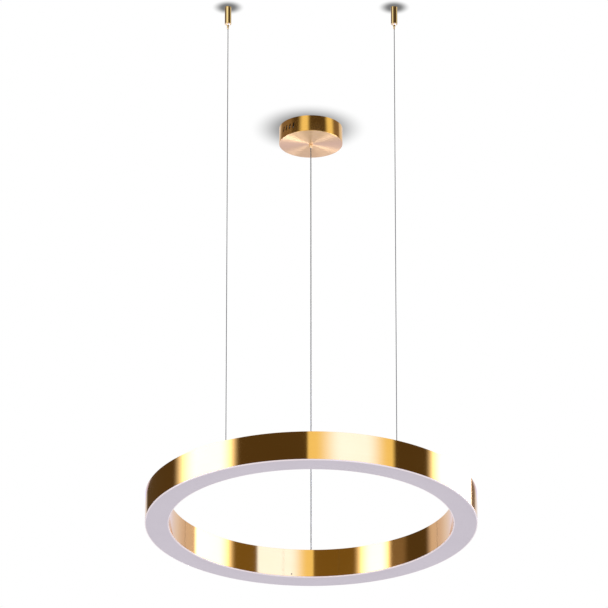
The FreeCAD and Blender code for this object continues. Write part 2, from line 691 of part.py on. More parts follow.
def grip_sleeve(place):
    """The turned brass sleeve, with the wedge cone for the grip balls inside."""
    throat = Z_SLEEVE_FLOOR + CONE_RISE
    nose_r = PLUNGER_HOLE_R + NOSE_WALL
    body = joined(rod(SLEEVE_R, Z_SLEEVE_BOTTOM, -SOCKET_FLANGE_T, place), [
        cone(nose_r, nose_r + NOSE_FLARE, Z_SLEEVE_BOTTOM - NOSE_H, Z_SLEEVE_BOTTOM, place),
    ])
    return body.cut([
        rod(SOCKET_R + THREAD_GAP, Z_SOCKET_BOTTOM, 0.0, place),
        rod(GRIP_BORE_R, throat + CONE_L, Z_SOCKET_BOTTOM, place),
        cone(CONE_THROAT_R, GRIP_BORE_R, throat, throat + CONE_L, place),
        rod(CONE_THROAT_R, Z_SLEEVE_FLOOR, throat, place),
        rod(PLUNGER_HOLE_R, Z_SLEEVE_BOTTOM - NOSE_H - OVERSHOOT, Z_SLEEVE_FLOOR, place),
    ])


def grip_ball_ways():
    """The directions of the three grip balls from the rope's axis."""
    turns = [math.radians(a) for a in GRIP_BALL_ANGLES]
    return [Vector(math.cos(t), math.sin(t), 0) for t in turns]


def grip_balls(place):
    """The three balls that wedge the rope."""
    middle = Vector(place.x, place.y, Z_GRIP_BALLS)
    return Part.makeCompound([Part.makeSphere(GRIP_BALL_R, middle + way * GRIP_BALL_REACH)
                              for way in grip_ball_ways()])


def release_plunger(place):
    """The sprung tube that carries the balls and is pushed up to let the rope slide."""
    tip_top = Z_ROPE_MOUTH + PLUNGER_CHAMFER
    body = joined(rod(PLUNGER_R, tip_top, Z_PLUNGER_TOP, place), [
        cone(PLUNGER_R - PLUNGER_CHAMFER, PLUNGER_R, Z_ROPE_MOUTH, tip_top, place),
        rod(CONE_THROAT_R - COLLAR_GAP, Z_SLEEVE_FLOOR, Z_SLEEVE_FLOOR + PLUNGER_COLLAR_H,
            place),
    ])
    middle = Vector(place.x, place.y, Z_GRIP_BALLS)
    windows = [Part.makeCylinder(GRIP_BALL_R + GRIP_BALL_GAP, 2 * PLUNGER_R, middle, way)
               for way in grip_ball_ways()]
    return body.cut([plate_hole(place, PLUNGER_BORE_R, Z_ROPE_MOUTH, Z_PLUNGER_TOP)] + windows)


def spring_route():
    """The spring's helix as quarter-turn biarcs, with its lower end at the origin's level."""
    margin = SPRING_WIRE_R + SPRING_END_GAP
    rise = Z_SOCKET_BOTTOM - Z_PLUNGER_TOP - 2 * margin
    quarters = 4 * SPRING_TURNS
    climb = rise / (2 * math.pi * SPRING_TURNS)
    places = []
    ways = []
    for i in range(quarters + 1):
        turn = i * math.pi / 2
        places.append(Vector(SPRING_R * math.cos(turn), SPRING_R * math.sin(turn),
                             margin + climb * turn))
        ways.append(Vector(-SPRING_R * math.sin(turn), SPRING_R * math.cos(turn),
                           climb).normalize())
    edges = []
    for i in range(quarters):
        edges += biarc(places[i], ways[i], places[i + 1], ways[i + 1])
    return Part.Wire(edges), ways[0]


def release_spring(place):
    """The coil between the plunger and the socket."""
    route, first_way = spring_route()
    end = Part.Wire(Part.makeCircle(SPRING_WIRE_R, Vector(SPRING_R, 0, SPRING_WIRE_R
                                                          + SPRING_END_GAP), first_way))
    coil = route.makePipeShell([end], True, False)
    coil.translate(Vector(place.x, place.y, Z_PLUNGER_TOP))
    return coil


def least_turn_gap():
    """The least gap between the spring's turns, measured on points of its route."""
    route, _ = spring_route()
    per_turn = 40
    points = route.discretize(Number=per_turn * SPRING_TURNS + 1)
    apart = per_turn // 2
    nearest = min(p.distanceToPoint(q) for i, p in enumerate(points) for q in points[i + apart:])
    return nearest - 2 * SPRING_WIRE_R


def rope_tail(place):
    """The fixed end of the rope inside its grip."""
    return rod(ROPE_R, Z_ROPE_MOUTH + ROPE_R + TAIL_GAP, Z_SOCKET_BOTTOM - TAIL_GAP, place)


# ---- canopy -----------------------------------------------------------------------------
def vent_cutter(angle):
    """A slanted round-ended slot through the canopy's side; 0 degrees is the front."""
    reach = 4 * CANOPY_T
    straight = (VENT_L - VENT_W) / 2
    body = block(-VENT_W / 2, VENT_W / 2, -reach, reach, -straight, straight)
    body = body.fuse([
        Part.makeCylinder(VENT_W / 2, 2 * reach, Vector(0, -reach, z), Y_AXIS)
        for z in (-straight, straight)
    ])
    body.rotate(ORIGIN, Y_AXIS, VENT_SLANT)
    body.translate(Vector(0, -CANOPY_R, -CANOPY_H / 2))
    body.rotate(ORIGIN, Z_AXIS, angle)
    return body


def canopy_cover():
    """The cup against the ceiling, with its vents and the hole for the threaded tube."""
    cup = revolved([
        (0, -CANOPY_H), (CANOPY_R, -CANOPY_H), (CANOPY_R, 0), (CANOPY_INSIDE_R, 0),
        (CANOPY_INSIDE_R, Z_CANOPY_FLOOR), (0, Z_CANOPY_FLOOR),
    ], ORIGIN)
    rim = [
        e for e in cup.Edges
        if isinstance(e.Curve, Part.Circle) and abs(e.Curve.Radius - CANOPY_R) < SAME
        and abs(e.BoundBox.ZMax + CANOPY_H) < SAME
    ]
    cup = cup.makeFillet(min(CANOPY_ROUND, FILLET_SHARE * CANOPY_T), rim)
    offsets = [(i - (VENT_COUNT - 1) / 2) * VENT_PITCH_DEG for i in range(VENT_COUNT)]
    cutters = [vent_cutter(middle + o) for middle in (-VENT_MIDDLE_DEG, 180.0 - VENT_MIDDLE_DEG)
               for o in offsets]
    cutters.append(plate_hole(ORIGIN, TUBE_R + THREAD_GAP, -CANOPY_H, Z_CANOPY_FLOOR))
    return cup.cut(cutters)


def slot_cutter(x):
    """One ceiling-screw slot through the mounting plate."""
    straight = SLOT_L / 2 - SLOT_R
    low = -PLATE_T - OVERSHOOT
    high = OVERSHOOT
    ends = [rod(SLOT_R, low, high, Vector(x + s, 0, 0)) for s in (-straight, straight)]
    return block(x - straight, x + straight, -SLOT_R, SLOT_R, low, high).fuse(ends)


def mounting_plate():
    """The plate on the ceiling, with wings for driver and block and a bridge for the tube."""
    half = STRAP_W / 2
    leg = BRIDGE_HALF_L - PLATE_T
    plate = block(-STRAP_HALF_L, STRAP_HALF_L, -half, half, -PLATE_T, 0)
    plate = joined(plate, [
        block(-REAR_WING_HALF_L, REAR_WING_HALF_L, half, DRIVER_BACK_Y + WING_EDGE, -PLATE_T, 0),
        block(-FRONT_WING_W / 2, FRONT_WING_W / 2, -half - FRONT_WING_L, -half, -PLATE_T, 0),
        block(leg, BRIDGE_HALF_L, -BRIDGE_W / 2, BRIDGE_W / 2, Z_WEB_TOP, -PLATE_T),
        block(-BRIDGE_HALF_L, -leg, -BRIDGE_W / 2, BRIDGE_W / 2, Z_WEB_TOP, -PLATE_T),
        block(-BRIDGE_HALF_L, BRIDGE_HALF_L, -BRIDGE_W / 2, BRIDGE_W / 2,
              Z_WEB_BOTTOM, Z_WEB_TOP),
    ])
    cutters = [slot_cutter(-SLOT_X), slot_cutter(SLOT_X)]
    cutters.append(plate_hole(ORIGIN, TUBE_R + THREAD_GAP, Z_WEB_BOTTOM, Z_WEB_TOP))
    cutters += [plate_hole(p, M3_HOLE_R, -PLATE_T, 0.0) for p in driver_screw_places()]
    return plate.cut(cutters)


def threaded_tube():
    """The tube from the bridge down through the canopy floor, which carries the cable."""
    tube = rod(TUBE_R, Z_TUBE_BOTTOM, Z_TUBE_TOP)
    return tube.cut(plate_hole(ORIGIN, CABLE_R + TUBE_BORE_GAP, Z_TUBE_BOTTOM, Z_TUBE_TOP))


def tube_nut():
    """The nut on the bridge's web."""
    return nut(ORIGIN, TUBE_R, Z_WEB_TOP, Z_WEB_TOP + TUBE_NUT_T)


def canopy_gland():
    """The turned outlet that screws on the tube and holds the canopy up."""
    body = cone(GLAND_TIP_R, TUBE_R + GLAND_WALL, Z_CABLE_MOUTH, Z_TUBE_BOTTOM)
    body = joined(body, [rod(TUBE_R + GLAND_WALL, Z_TUBE_BOTTOM, -CANOPY_H)])
    return body.cut([
        rod(TUBE_R + THREAD_GAP, Z_TUBE_BOTTOM, -CANOPY_H + OVERSHOOT),
        rod(CABLE_R + MOUTH_GAP, Z_CABLE_MOUTH - OVERSHOOT, Z_TUBE_BOTTOM),
    ])


def cable_collar():
    """The collar crimped on the cable on top of the tube, which carries the load."""
    collar = rod(CABLE_R + COLLAR_WALL, Z_TUBE_TOP, Z_COLLAR_TOP)
    return collar.cut(plate_hole(ORIGIN, CABLE_R + CRIMP_GAP, Z_TUBE_TOP, Z_COLLAR_TOP))


def cable_tail():
    """The fixed end of the cable, up through the tube and back to the driver."""
    return tube_along([
        Vector(0, 0, Z_CABLE_MOUTH + CABLE_R + TAIL_GAP), Vector(0, 0, Z_TAIL),
        Vector(0, DRIVER_FRONT_Y, Z_TAIL),
    ], CABLE_R, TAIL_BEND_R)


# ---- canopy: driver and wiring ----------------------------------------------------------
def driver_screw_places():
    """The driver's two fixing screws, in opposite corners."""
    x = REAR_WING_HALF_L - DRIVER_SCREW_INSET
    return [Vector(-x, DRIVER_FRONT_Y + DRIVER_SCREW_INSET, 0),
            Vector(x, DRIVER_BACK_Y - DRIVER_SCREW_INSET, 0)]


def led_driver():
    """The driver under the rear wing."""
    low = -PLATE_T - DRIVER_H
    body = block(-DRIVER_HALF_L, DRIVER_HALF_L, DRIVER_FRONT_Y, DRIVER_BACK_Y, low, -PLATE_T)
    uprights = [e for e in body.Edges if abs(e.BoundBox.ZLength - DRIVER_H) < SAME]
    body = body.makeFillet(DRIVER_ROUND, uprights)
    return body.cut([plate_hole(p, M3_HOLE_R, low, -PLATE_T) for p in driver_screw_places()])


def driver_screws():
    """Screws from below, through the driver into the mounting plate."""
    return Part.makeCompound([
        screw_from_below(p, -PLATE_T - DRIVER_H, DRIVER_H + PLATE_T)
        for p in driver_screw_places()
    ])


def mains_terminal_block():
    """The block under the front wing that the ceiling wires go into."""
    low = -PLATE_T - BLOCK_H
    body = block(-BLOCK_L / 2, BLOCK_L / 2, BLOCK_FRONT_Y, BLOCK_FRONT_Y + BLOCK_W,
                 low, -PLATE_T)
    pitch = BLOCK_L / BLOCK_POLES
    return body.cut([
        Part.makeCylinder(BLOCK_HOLE_R, BLOCK_W / 2, Vector(-BLOCK_L / 2 + pitch * (i + 0.5),
                                                            BLOCK_FRONT_Y, low + BLOCK_H / 2),
                          Y_AXIS)
        for i in range(BLOCK_POLES)
    ])


def driver_input_lead():
    """The lead from the terminal block round to the driver."""
    y = BLOCK_FRONT_Y + BLOCK_W / 2
    x = -DRIVER_HALF_L + LEAD_INSET
    return tube_along([
        Vector(-BLOCK_L / 2, y, -LEAD_LEVEL), Vector(x, y, -LEAD_LEVEL),
        Vector(x, DRIVER_FRONT_Y, -LEAD_LEVEL),
    ], LEAD_R, LEAD_BEND_R)


# ---- export -----------------------------------------------------------------------------
def export_ring():
    """The ring's own nodes."""
    export("outer_band", outer_band())
    export("inner_band", inner_band())
    export("top_cover", top_cover())
    export("section_brackets", section_brackets())
    export("hanger_brackets", hanger_brackets())
    export("cover_screws", cover_screws())
    export("carrier_screws", carrier_screws())
    export("diffuser", diffuser())
    export("diffuser_set_screws", set_screws())
    for name in LED_ARCS:
        export("led_carrier_" + name, led_carrier(name))
        export("led_board_" + name, led_board(name))
        export("led_chips_" + name, led_chips(name))
    export("ring_terminal_block", ring_terminal_block())
    export("cable_cores", cable_cores())
    export("board_jumpers", board_jumpers())
    export("block_wires", block_wires())


def export_rope(side, angle):
    """One rope with its bushing on the ring and its grip on the ceiling."""
    place = at_ring(angle)
    export(side + "_rope_bushing",
           ring_bushing(angle, Z_ROPE_BALL, ROPE_R, ROPE_BALL_R, ROPE_SHANK_R))
    export(side + "_bushing_nut", ring_nut(angle, ROPE_SHANK_R))
    export(side + "_rope_ball", line_ball(angle, Z_ROPE_BALL, ROPE_BALL_R, ROPE_R))
    export(side + "_rope", hanging_line(angle, Z_ROPE_BALL, ROPE_BALL_R, Z_ROPE_MOUTH, ROPE_R))
    export(side + "_rope_tail", rope_tail(place))
    export(side + "_anchor_socket", anchor_socket(place))
    export(side + "_grip_sleeve", grip_sleeve(place))
    export(side + "_grip_balls", grip_balls(place))
    export(side + "_release_plunger", release_plunger(place))
    export(side + "_release_spring", release_spring(place))


def export_canopy():
    """The power cable with its gland on the ring and the canopy on the ceiling."""
    export("ring_cable_gland",
           ring_bushing(REAR_ANGLE, Z_CABLE_BALL, CABLE_R, CABLE_BALL_R, CABLE_SHANK_R))
    export("ring_gland_nut", ring_nut(REAR_ANGLE, CABLE_SHANK_R))
    export("cable_ball", line_ball(REAR_ANGLE, Z_CABLE_BALL, CABLE_BALL_R, CABLE_R))
    export("power_cable",
           hanging_line(REAR_ANGLE, Z_CABLE_BALL, CABLE_BALL_R, Z_CABLE_MOUTH, CABLE_R))
    export("cable_tail", cable_tail())
    export("cable_collar", cable_collar())
    export("canopy_cover", canopy_cover())
    export("mounting_plate", mounting_plate())
    export("threaded_tube", threaded_tube())
    export("tube_nut", tube_nut())
    export("canopy_gland", canopy_gland())
    export("led_driver", led_driver())
    export("driver_screws", driver_screws())
    export("mains_terminal_block", mains_terminal_block())
    export("driver_input_lead", driver_input_lead())


def main():
    """Writes every node and prints the working lengths."""
    os.makedirs("parts", exist_ok=True)
    export_ring()
    export_rope("left", LEFT_ANGLE)
    export_rope("right", RIGHT_ANGLE)
    export_canopy()
    print("rope, pivot to pivot:", round(Z_ROPE_MOUTH - Z_ROPE_BALL, 3))
    print("cable, pivot to pivot:", round(Z_CABLE_MOUTH - Z_CABLE_BALL, 3))
    print("rope pivots:", at_ring(LEFT_ANGLE, z=Z_ROPE_MOUTH), at_ring(RIGHT_ANGLE, z=Z_ROPE_BALL))
    print("cable pivots:", Z_CABLE_MOUTH, Z_CABLE_BALL)
    print("least gap between spring turns:", round(least_turn_gap(), 3))


main()
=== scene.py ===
"""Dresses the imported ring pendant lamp: brushed brass ring with an opal underside, two steel
ropes with ceiling grips, and a clear-jacketed cable from a round vented canopy.

Everything is in metres, in the part's own frame: +Z is up, the ceiling is z = 0, the canopy
stands at the origin and the ring hangs towards -Y.
"""
import logging
import math
from dataclasses import dataclass, field
from enum import Enum
from typing import Iterable, Sequence

import bmesh
import bpy
from mathutils import Matrix, Vector


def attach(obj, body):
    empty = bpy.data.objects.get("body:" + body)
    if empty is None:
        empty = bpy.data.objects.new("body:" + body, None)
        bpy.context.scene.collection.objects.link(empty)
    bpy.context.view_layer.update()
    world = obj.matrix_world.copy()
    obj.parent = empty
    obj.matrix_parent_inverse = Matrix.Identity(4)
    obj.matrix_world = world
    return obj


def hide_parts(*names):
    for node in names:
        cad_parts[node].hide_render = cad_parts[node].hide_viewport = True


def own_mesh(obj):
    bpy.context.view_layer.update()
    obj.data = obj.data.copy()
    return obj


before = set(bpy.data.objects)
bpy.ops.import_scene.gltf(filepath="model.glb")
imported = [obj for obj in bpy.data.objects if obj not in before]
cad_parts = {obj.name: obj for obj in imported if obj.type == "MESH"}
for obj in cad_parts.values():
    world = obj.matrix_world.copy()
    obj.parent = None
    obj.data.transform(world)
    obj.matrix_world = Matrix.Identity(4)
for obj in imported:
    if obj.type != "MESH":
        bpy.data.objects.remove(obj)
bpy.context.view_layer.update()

LOG = logging.getLogger("lamp")
MM = 0.001
Colour = tuple[float, float, float]
Outline = list[tuple[float, float]]
Socket = bpy.types.NodeSocket

# ---- sizes and places that several assemblies share -------------------------------------
RING_OUTER_R = 0.300
RING_INNER_R = 0.257
RING_MID_R = 0.2785
RING_TOP = -0.870
BRASS_BOTTOM = -0.923
BAND_T = 1.2 * MM
COVER_TOP = RING_TOP - BAND_T
FIT_GAP = 0.3 * MM
RING_AXIS = Vector((0.0, -RING_MID_R, 0.0))
CANOPY_AXIS = Vector((0.0, 0.0, 0.0))
UP = (0.0, 0.0, 1.0)
WELD = 1e-7
CRISP_ANGLE = 20.0
ROUND_CRISP_ANGLE = 40.0
TUBE_CRISP_ANGLE = 60.0
FRONT_HALF_ANGLE = math.radians(33.0)
ROPE_X = RING_MID_R * math.sin(FRONT_HALF_ANGLE)
ROPE_Y = -RING_MID_R - RING_MID_R * math.cos(FRONT_HALF_ANGLE)
ROPE_R = 0.75 * MM
ROPE_MOUTH = -44.0 * MM
ROPE_BALL_R = 2.5 * MM
ROPE_BALL_Z = -872.2 * MM
CABLE_R = 1.0 * MM
CABLE_MOUTH = -41.0 * MM
CABLE_BALL_R = 3.0 * MM
CABLE_BALL_Z = -869.2 * MM
DRIVER_SCREWS = ((-24.18 * MM, 19.0 * MM), (24.18 * MM, 33.0 * MM))
DRIVER_SCREW_R = 1.5 * MM


class Body(Enum):
    """The moving bodies of the part."""

    CEILING = "ceiling_fittings"
    CABLE = "power_cable"
    RING = "ring"
    LEFT_ROPE = "left_rope"
    RIGHT_ROPE = "right_rope"
    LEFT_RELEASE = "left_release"
    RIGHT_RELEASE = "right_release"


class Side(Enum):
    """Which front rope a fitting belongs to, with its sign along X."""

    LEFT = -1
    RIGHT = 1

    @property
    def word(self) -> str:
        """The side's name as the nodes use it."""
        return self.name.lower()

    @property
    def place(self) -> Vector:
        """The rope's axis, on the ceiling plane."""
        return Vector((self.value * ROPE_X, ROPE_Y, 0.0))

    @property
    def rope(self) -> Body:
        """The body that this side's rope rides on."""
        return Body.LEFT_ROPE if self is Side.LEFT else Body.RIGHT_ROPE

    @property
    def release(self) -> Body:
        """The body that this side's release plunger rides on."""
        return Body.LEFT_RELEASE if self is Side.LEFT else Body.RIGHT_RELEASE


class Grain(Enum):
    """How the fine surface lines of a finish run."""

    ROUND_AXIS = "lines round an upright axis"
    ALONG_X = "lines along X"
    SPECKLE = "an even fine speckle"


# ---- finishes ---------------------------------------------------------------------------
class Nodes:
    """A small helper that adds and links the nodes of one material."""

    def __init__(self, name: str) -> None:
        """Starts an empty material.

        Args:
            name: the material's name.
        """
        self.material = bpy.data.materials.new(name)
        self.material.use_nodes = True
        self.tree = self.material.node_tree
        self.tree.nodes.clear()

    def add(self, kind: str, inputs: dict[int | str, object] | None = None,
            **settings: object) -> bpy.types.Node:
        """Adds a node, sets its own properties and fills its inputs.

        Args:
            kind: the node's type name without the ShaderNode prefix.
            inputs: a number, a colour or a socket to link, for each input.
            settings: properties to set on it.

        Returns:
            The node.
        """
        node = self.tree.nodes.new("ShaderNode" + kind)
        for key, value in settings.items():
            setattr(node, key, value)
        for key, value in (inputs or {}).items():
            if isinstance(value, Socket):
                self.tree.links.new(value, node.inputs[key])
            else:
                node.inputs[key].default_value = value
        return node

    def maths(self, operation: str, first: object, second: object = 0.0) -> Socket:
        """Does an operation with two sockets or numbers."""
        return self.add("Math", {0: first, 1: second}, operation=operation).outputs[0]

    def place(self, centre: Sequence[float]) -> Socket:
        """Gives Object coordinates measured from a centre."""
        source = self.add("TexCoord").outputs["Object"]
        return self.add("Mapping", {"Location": [-c for c in centre], "Vector": source}).outputs[0]

    def vector(self, operation: str, *values: object) -> bpy.types.Node:
        """Adds an operation with vectors."""
        return self.add("VectorMath", dict(enumerate(values)), operation=operation)

    def distance(self, centre: Sequence[float]) -> Socket:
        """Gives the distance from a centre."""
        return self.vector("LENGTH", self.place(centre)).outputs["Value"]

    def split(self, vector: Socket) -> tuple[Socket, Socket, Socket]:
        """Gives a vector's three parts."""
        return tuple(self.add("SeparateXYZ", {0: vector}).outputs)

    def radius(self, x: Socket, y: Socket) -> Socket:
        """Gives the distance from the upright axis."""
        squares = [self.maths("MULTIPLY", v, v) for v in (x, y)]
        return self.maths("SQRT", self.maths("ADD", *squares))

    def noise(self, vector: Socket, scale: float, detail: float = 3.0,
              roughness: float = 0.5) -> Socket:
        """Adds a noise texture, and gives its factor."""
        return self.add("TexNoise", {"Vector": vector, "Scale": scale, "Detail": detail,
                                     "Roughness": roughness}).outputs["Fac"]

    def spread(self, value: Socket, low: float, high: float, start: float = 0.3,
               end: float = 0.7, **settings: object) -> Socket:
        """Maps the factors from start to end onto the range from low to high."""
        return self.add("MapRange", {"Value": value, "From Min": start, "From Max": end,
                                     "To Min": low, "To Max": high}, **settings).outputs["Result"]

    def blend(self, factor: Socket, first: Colour | Socket, second: Colour) -> Socket:
        """Mixes two colours.

        Args:
            factor: how much of the second.
            first: a colour, or the socket of one.
            second: a colour.

        Returns:
            The colour's socket.
        """
        if not isinstance(first, Socket):
            first = (*first, 1.0)
        return self.add("Mix", {0: factor, 6: first, 7: (*second, 1.0)},
                        data_type="RGBA").outputs[2]

    def bump(self, height: Socket, strength: float, distance: float) -> Socket:
        """Gives the normal of a bump, whose height of 1 is a distance in metres."""
        return self.add("Bump", {"Height": height, "Strength": strength,
                                 "Distance": distance}).outputs["Normal"]

    def surface(self, shader: bpy.types.Node) -> bpy.types.Material:
        """Links a shader to the output, and gives the material."""
        self.add("OutputMaterial", {"Surface": shader.outputs[0]})
        return self.material

    def principled(self, **inputs: object) -> bpy.types.Material:
        """Ends in a principled shader; the names of its inputs have _ for each space."""
        named = {key.replace("_", " "): value for key, value in inputs.items()}
        return self.surface(self.add("BsdfPrincipled", named))

    def one_sided(self, shader: bpy.types.Node) -> bpy.types.Material:
        """Shows a shader on the front of faces only.

        Args:
            shader: the shader.

        Returns:
            The material.
        """
        back = self.add("NewGeometry").outputs["Backfacing"]
        clear = self.add("BsdfTransparent").outputs[0]
        return self.surface(self.add("MixShader", {0: back, 1: shader.outputs[0], 2: clear}))


@dataclass(frozen=True)
class Metal:
    """A worked metal: its colour, how rough it is, and which way its fine lines run."""

    name: str
    light: Colour
    dark: Colour
    rough: tuple[float, float]
    grain: Grain = Grain.ROUND_AXIS
    lines: float = 1500.0
    along: float = 6.0
    relief: float = 0.08
    line_h: float = 0.05 * MM
    cloud: float = 14.0
    metallic: float = 1.0
    gloss: float = 0.5
    stretch: float = 0.0

    def grain_vector(self, nodes: Nodes, centre: Sequence[float]) -> Socket:
        """Coordinates that are stretched along the lines.

        Args:
            nodes: the material being built.
            centre: the point that the lines run round.

        Returns:
            The vector's socket.
        """
        place = nodes.place(centre)
        if self.grain is Grain.SPECKLE:
            return place
        x, y, z = nodes.split(place)
        first = y if self.grain is Grain.ALONG_X else nodes.radius(x, y)
        across = nodes.maths("ADD", first, z)
        return nodes.add("CombineXYZ", {
            0: nodes.maths("MULTIPLY", x, self.along), 1: nodes.maths("MULTIPLY", y, self.along),
            2: nodes.maths("MULTIPLY", across, self.lines)}).outputs[0]

    def around(self, nodes: Nodes, centre: Sequence[float]) -> Socket:
        """The direction of the lines, which the stretched gloss follows."""
        cross = nodes.vector("CROSS_PRODUCT", UP, nodes.place(centre)).outputs["Vector"]
        return nodes.vector("NORMALIZE", cross).outputs["Vector"]

    def material(self, centre: Sequence[float] = (0.0, 0.0, 0.0)) -> bpy.types.Material:
        """Builds the material.

        Args:
            centre: the point that the lines run round.

        Returns:
            The material.
        """
        nodes = Nodes(self.name)
        scale = self.lines if self.grain is Grain.SPECKLE else 1.0
        fine = nodes.noise(self.grain_vector(nodes, centre), scale, 4.0, 0.6)
        slow = nodes.noise(nodes.place(centre), self.cloud)
        both = nodes.maths("MULTIPLY", nodes.maths("ADD", fine, slow), 0.5)
        stretched = {}
        if self.stretch > 0.0:
            stretched = {"Anisotropic": self.stretch, "Anisotropic_Rotation": 0.25,
                         "Tangent": self.around(nodes, centre)}
        return nodes.principled(
            Metallic=self.metallic, Specular_IOR_Level=self.gloss,
            Base_Color=nodes.blend(nodes.spread(both, 0.0, 1.0, 0.35, 0.65), self.dark,
                                   self.light),
            Roughness=nodes.spread(both, *self.rough),
            Normal=nodes.bump(fine, self.relief, self.line_h), **stretched)


@dataclass(frozen=True)
class Plastic:
    """A moulded or painted surface with a fine texture."""

    name: str
    light: Colour
    dark: Colour
    rough: tuple[float, float]
    texture: float = 900.0
    relief: float = 0.10
    grain_h: float = 0.1 * MM
    cloud: float = 9.0
    coat: float = 0.0

    def colour(self, nodes: Nodes, place: Socket) -> Socket:
        """The slowly clouded colour, in coordinates from the pattern's zero."""
        cloud = nodes.noise(place, self.cloud)
        return nodes.blend(nodes.spread(cloud, 0.0, 1.0), self.dark, self.light)

    def material(self, centre: Sequence[float] = (0.0, 0.0, 0.0)) -> bpy.types.Material:
        """Builds the material.

        Args:
            centre: the zero of the pattern.

        Returns:
            The material.
        """
        nodes = Nodes(self.name)
        place = nodes.place(centre)
        fine = nodes.noise(place, self.texture, 4.0, 0.6)
        return nodes.principled(
            Coat_Weight=self.coat, Base_Color=self.colour(nodes, place),
            Roughness=nodes.spread(fine, *self.rough),
            Normal=nodes.bump(fine, self.relief, self.grain_h))


@dataclass(frozen=True)
class Opal(Plastic):
    """Cast opal acrylic: even and satin, with a painted highlight along both edges."""

    # edge is the colour of the painted highlight along both edges
    edge: Colour = (1.0, 1.0, 1.0)
    radii: tuple[float, float] = (0.0, 1.0)
    highlight_w: float = 1.0 * MM
    highlight_clear: float = 0.6 * MM

    def colour(self, nodes: Nodes, place: Socket) -> Socket:
        """The clouded colour, with a painted highlight along the edges.

        Args:
            nodes: the material being built.
            place: coordinates from the annulus's centre.

        Returns:
            The colour's socket.
        """
        x, y, _ = nodes.split(place)
        middle = sum(self.radii) / 2
        half = (self.radii[1] - self.radii[0]) / 2
        off = nodes.maths("ABSOLUTE", nodes.maths("SUBTRACT", nodes.radius(x, y), middle))
        # painted highlight: paler bands along the inner and outer edges
        highlight_mask = nodes.spread(off, 0.0, 1.0, half - self.highlight_w, half - self.highlight_clear)
        return nodes.blend(highlight_mask, super().colour(nodes, place), self.edge)


@dataclass(frozen=True)
class ClearJacket:
    """A clear soft jacket, faintly clouded."""

    name: str
    tint: Colour
    rough: tuple[float, float] = (0.12, 0.24)
    cloud: float = 60.0
    clear: float = 0.85
    bending: float = 1.45

    def material(self) -> bpy.types.Material:
        """Builds the material.

        Returns:
            The material.
        """
        nodes = Nodes(self.name)
        cloud = nodes.noise(nodes.place((0.0, 0.0, 0.0)), self.cloud)
        return nodes.principled(
            Base_Color=(*self.tint, 1.0), Transmission_Weight=self.clear, IOR=self.bending,
            Roughness=nodes.spread(cloud, *self.rough))


BRASS_LIGHT = (0.81, 0.49, 0.155)
BRASS_DARK = (0.78, 0.46, 0.14)
RING_BRASS = Metal("ring_brass", BRASS_LIGHT, BRASS_DARK, (0.055, 0.09), relief=0.05)
COVER_BRASS = Metal("cover_brass", (0.79, 0.50, 0.18), (0.73, 0.45, 0.15), (0.26, 0.34),
                    lines=900.0, relief=0.04)
# painted shade: near-black brass for the slots' cut edges and the inside of the cup
SHADE_PAINTED_BRASS = Metal("painted_shade_vents_and_inside", (0.12, 0.07, 0.03), (0.07, 0.04, 0.02), (0.40, 0.55),
                    Grain.SPECKLE)
CANOPY_BRASS = Metal("canopy_brass", BRASS_LIGHT, BRASS_DARK, (0.12, 0.18))
# canopy base: the brushed grain and stretched gloss are real; its paler colour than the sides is a
# painted reflection
BRUSHED_BASE_PAINTED_REFLECTION = Metal("canopy_base_brass_painted_reflection", (0.80, 0.55, 0.31), (0.75, 0.51, 0.28),
                     (0.37, 0.43), lines=1900.0, along=3.0, relief=0.10, stretch=0.90)
TURNED_BRASS = Metal("turned_brass", (0.82, 0.52, 0.18), (0.79, 0.49, 0.16), (0.05, 0.08),
                     lines=2600.0, along=40.0, relief=0.04)
GRIP_BRASS = Metal("grip_brass", (0.84, 0.66, 0.43), (0.81, 0.62, 0.39), (0.05, 0.08),
                   lines=2600.0, along=40.0, relief=0.04)
NUT_BRASS = Metal("nut_brass", (0.78, 0.55, 0.25), (0.68, 0.46, 0.19), (0.20, 0.30),
                  lines=2200.0, along=40.0)
SCREW_BRASS = Metal("screw_brass", (0.82, 0.58, 0.26), (0.74, 0.50, 0.20), (0.14, 0.22),
                    Grain.SPECKLE)
ZINC = Metal("zinc_plate", (0.68, 0.69, 0.71), (0.52, 0.54, 0.57), (0.24, 0.38),
             Grain.ALONG_X, lines=1200.0, along=20.0, cloud=60.0)
# the plate's sheared edges: bare cut steel, darkened further as painted shade
SHEARED_EDGE_PAINTED_SHADE = Metal("sheared_edge_painted_shade", (0.10, 0.095, 0.09), (0.06, 0.057, 0.055),
                      (0.45, 0.60), Grain.SPECKLE)
BLACK_STEEL = Metal("black_steel", (0.06, 0.05, 0.05), (0.03, 0.03, 0.03), (0.28, 0.40),
                    Grain.SPECKLE, lines=1800.0)
BRIGHT_STEEL = Metal("bright_steel", (0.70, 0.70, 0.71), (0.58, 0.58, 0.60), (0.12, 0.20),
                     Grain.SPECKLE, lines=1800.0)
ROPE_STEEL = Metal("rope_steel", (0.16, 0.153, 0.16), (0.10, 0.096, 0.10), (0.45, 0.58),
                   Grain.SPECKLE, lines=1400.0, relief=0.2, metallic=0.0, gloss=0.12)
SPRING_STEEL = Metal("spring_wire", (0.60, 0.61, 0.62), (0.50, 0.51, 0.52), (0.16, 0.24),
                     Grain.SPECKLE, lines=1400.0)
ALUMINIUM = Metal("mill_aluminium", (0.80, 0.81, 0.82), (0.70, 0.71, 0.73), (0.26, 0.38),
                  Grain.ALONG_X, lines=1400.0, along=12.0)
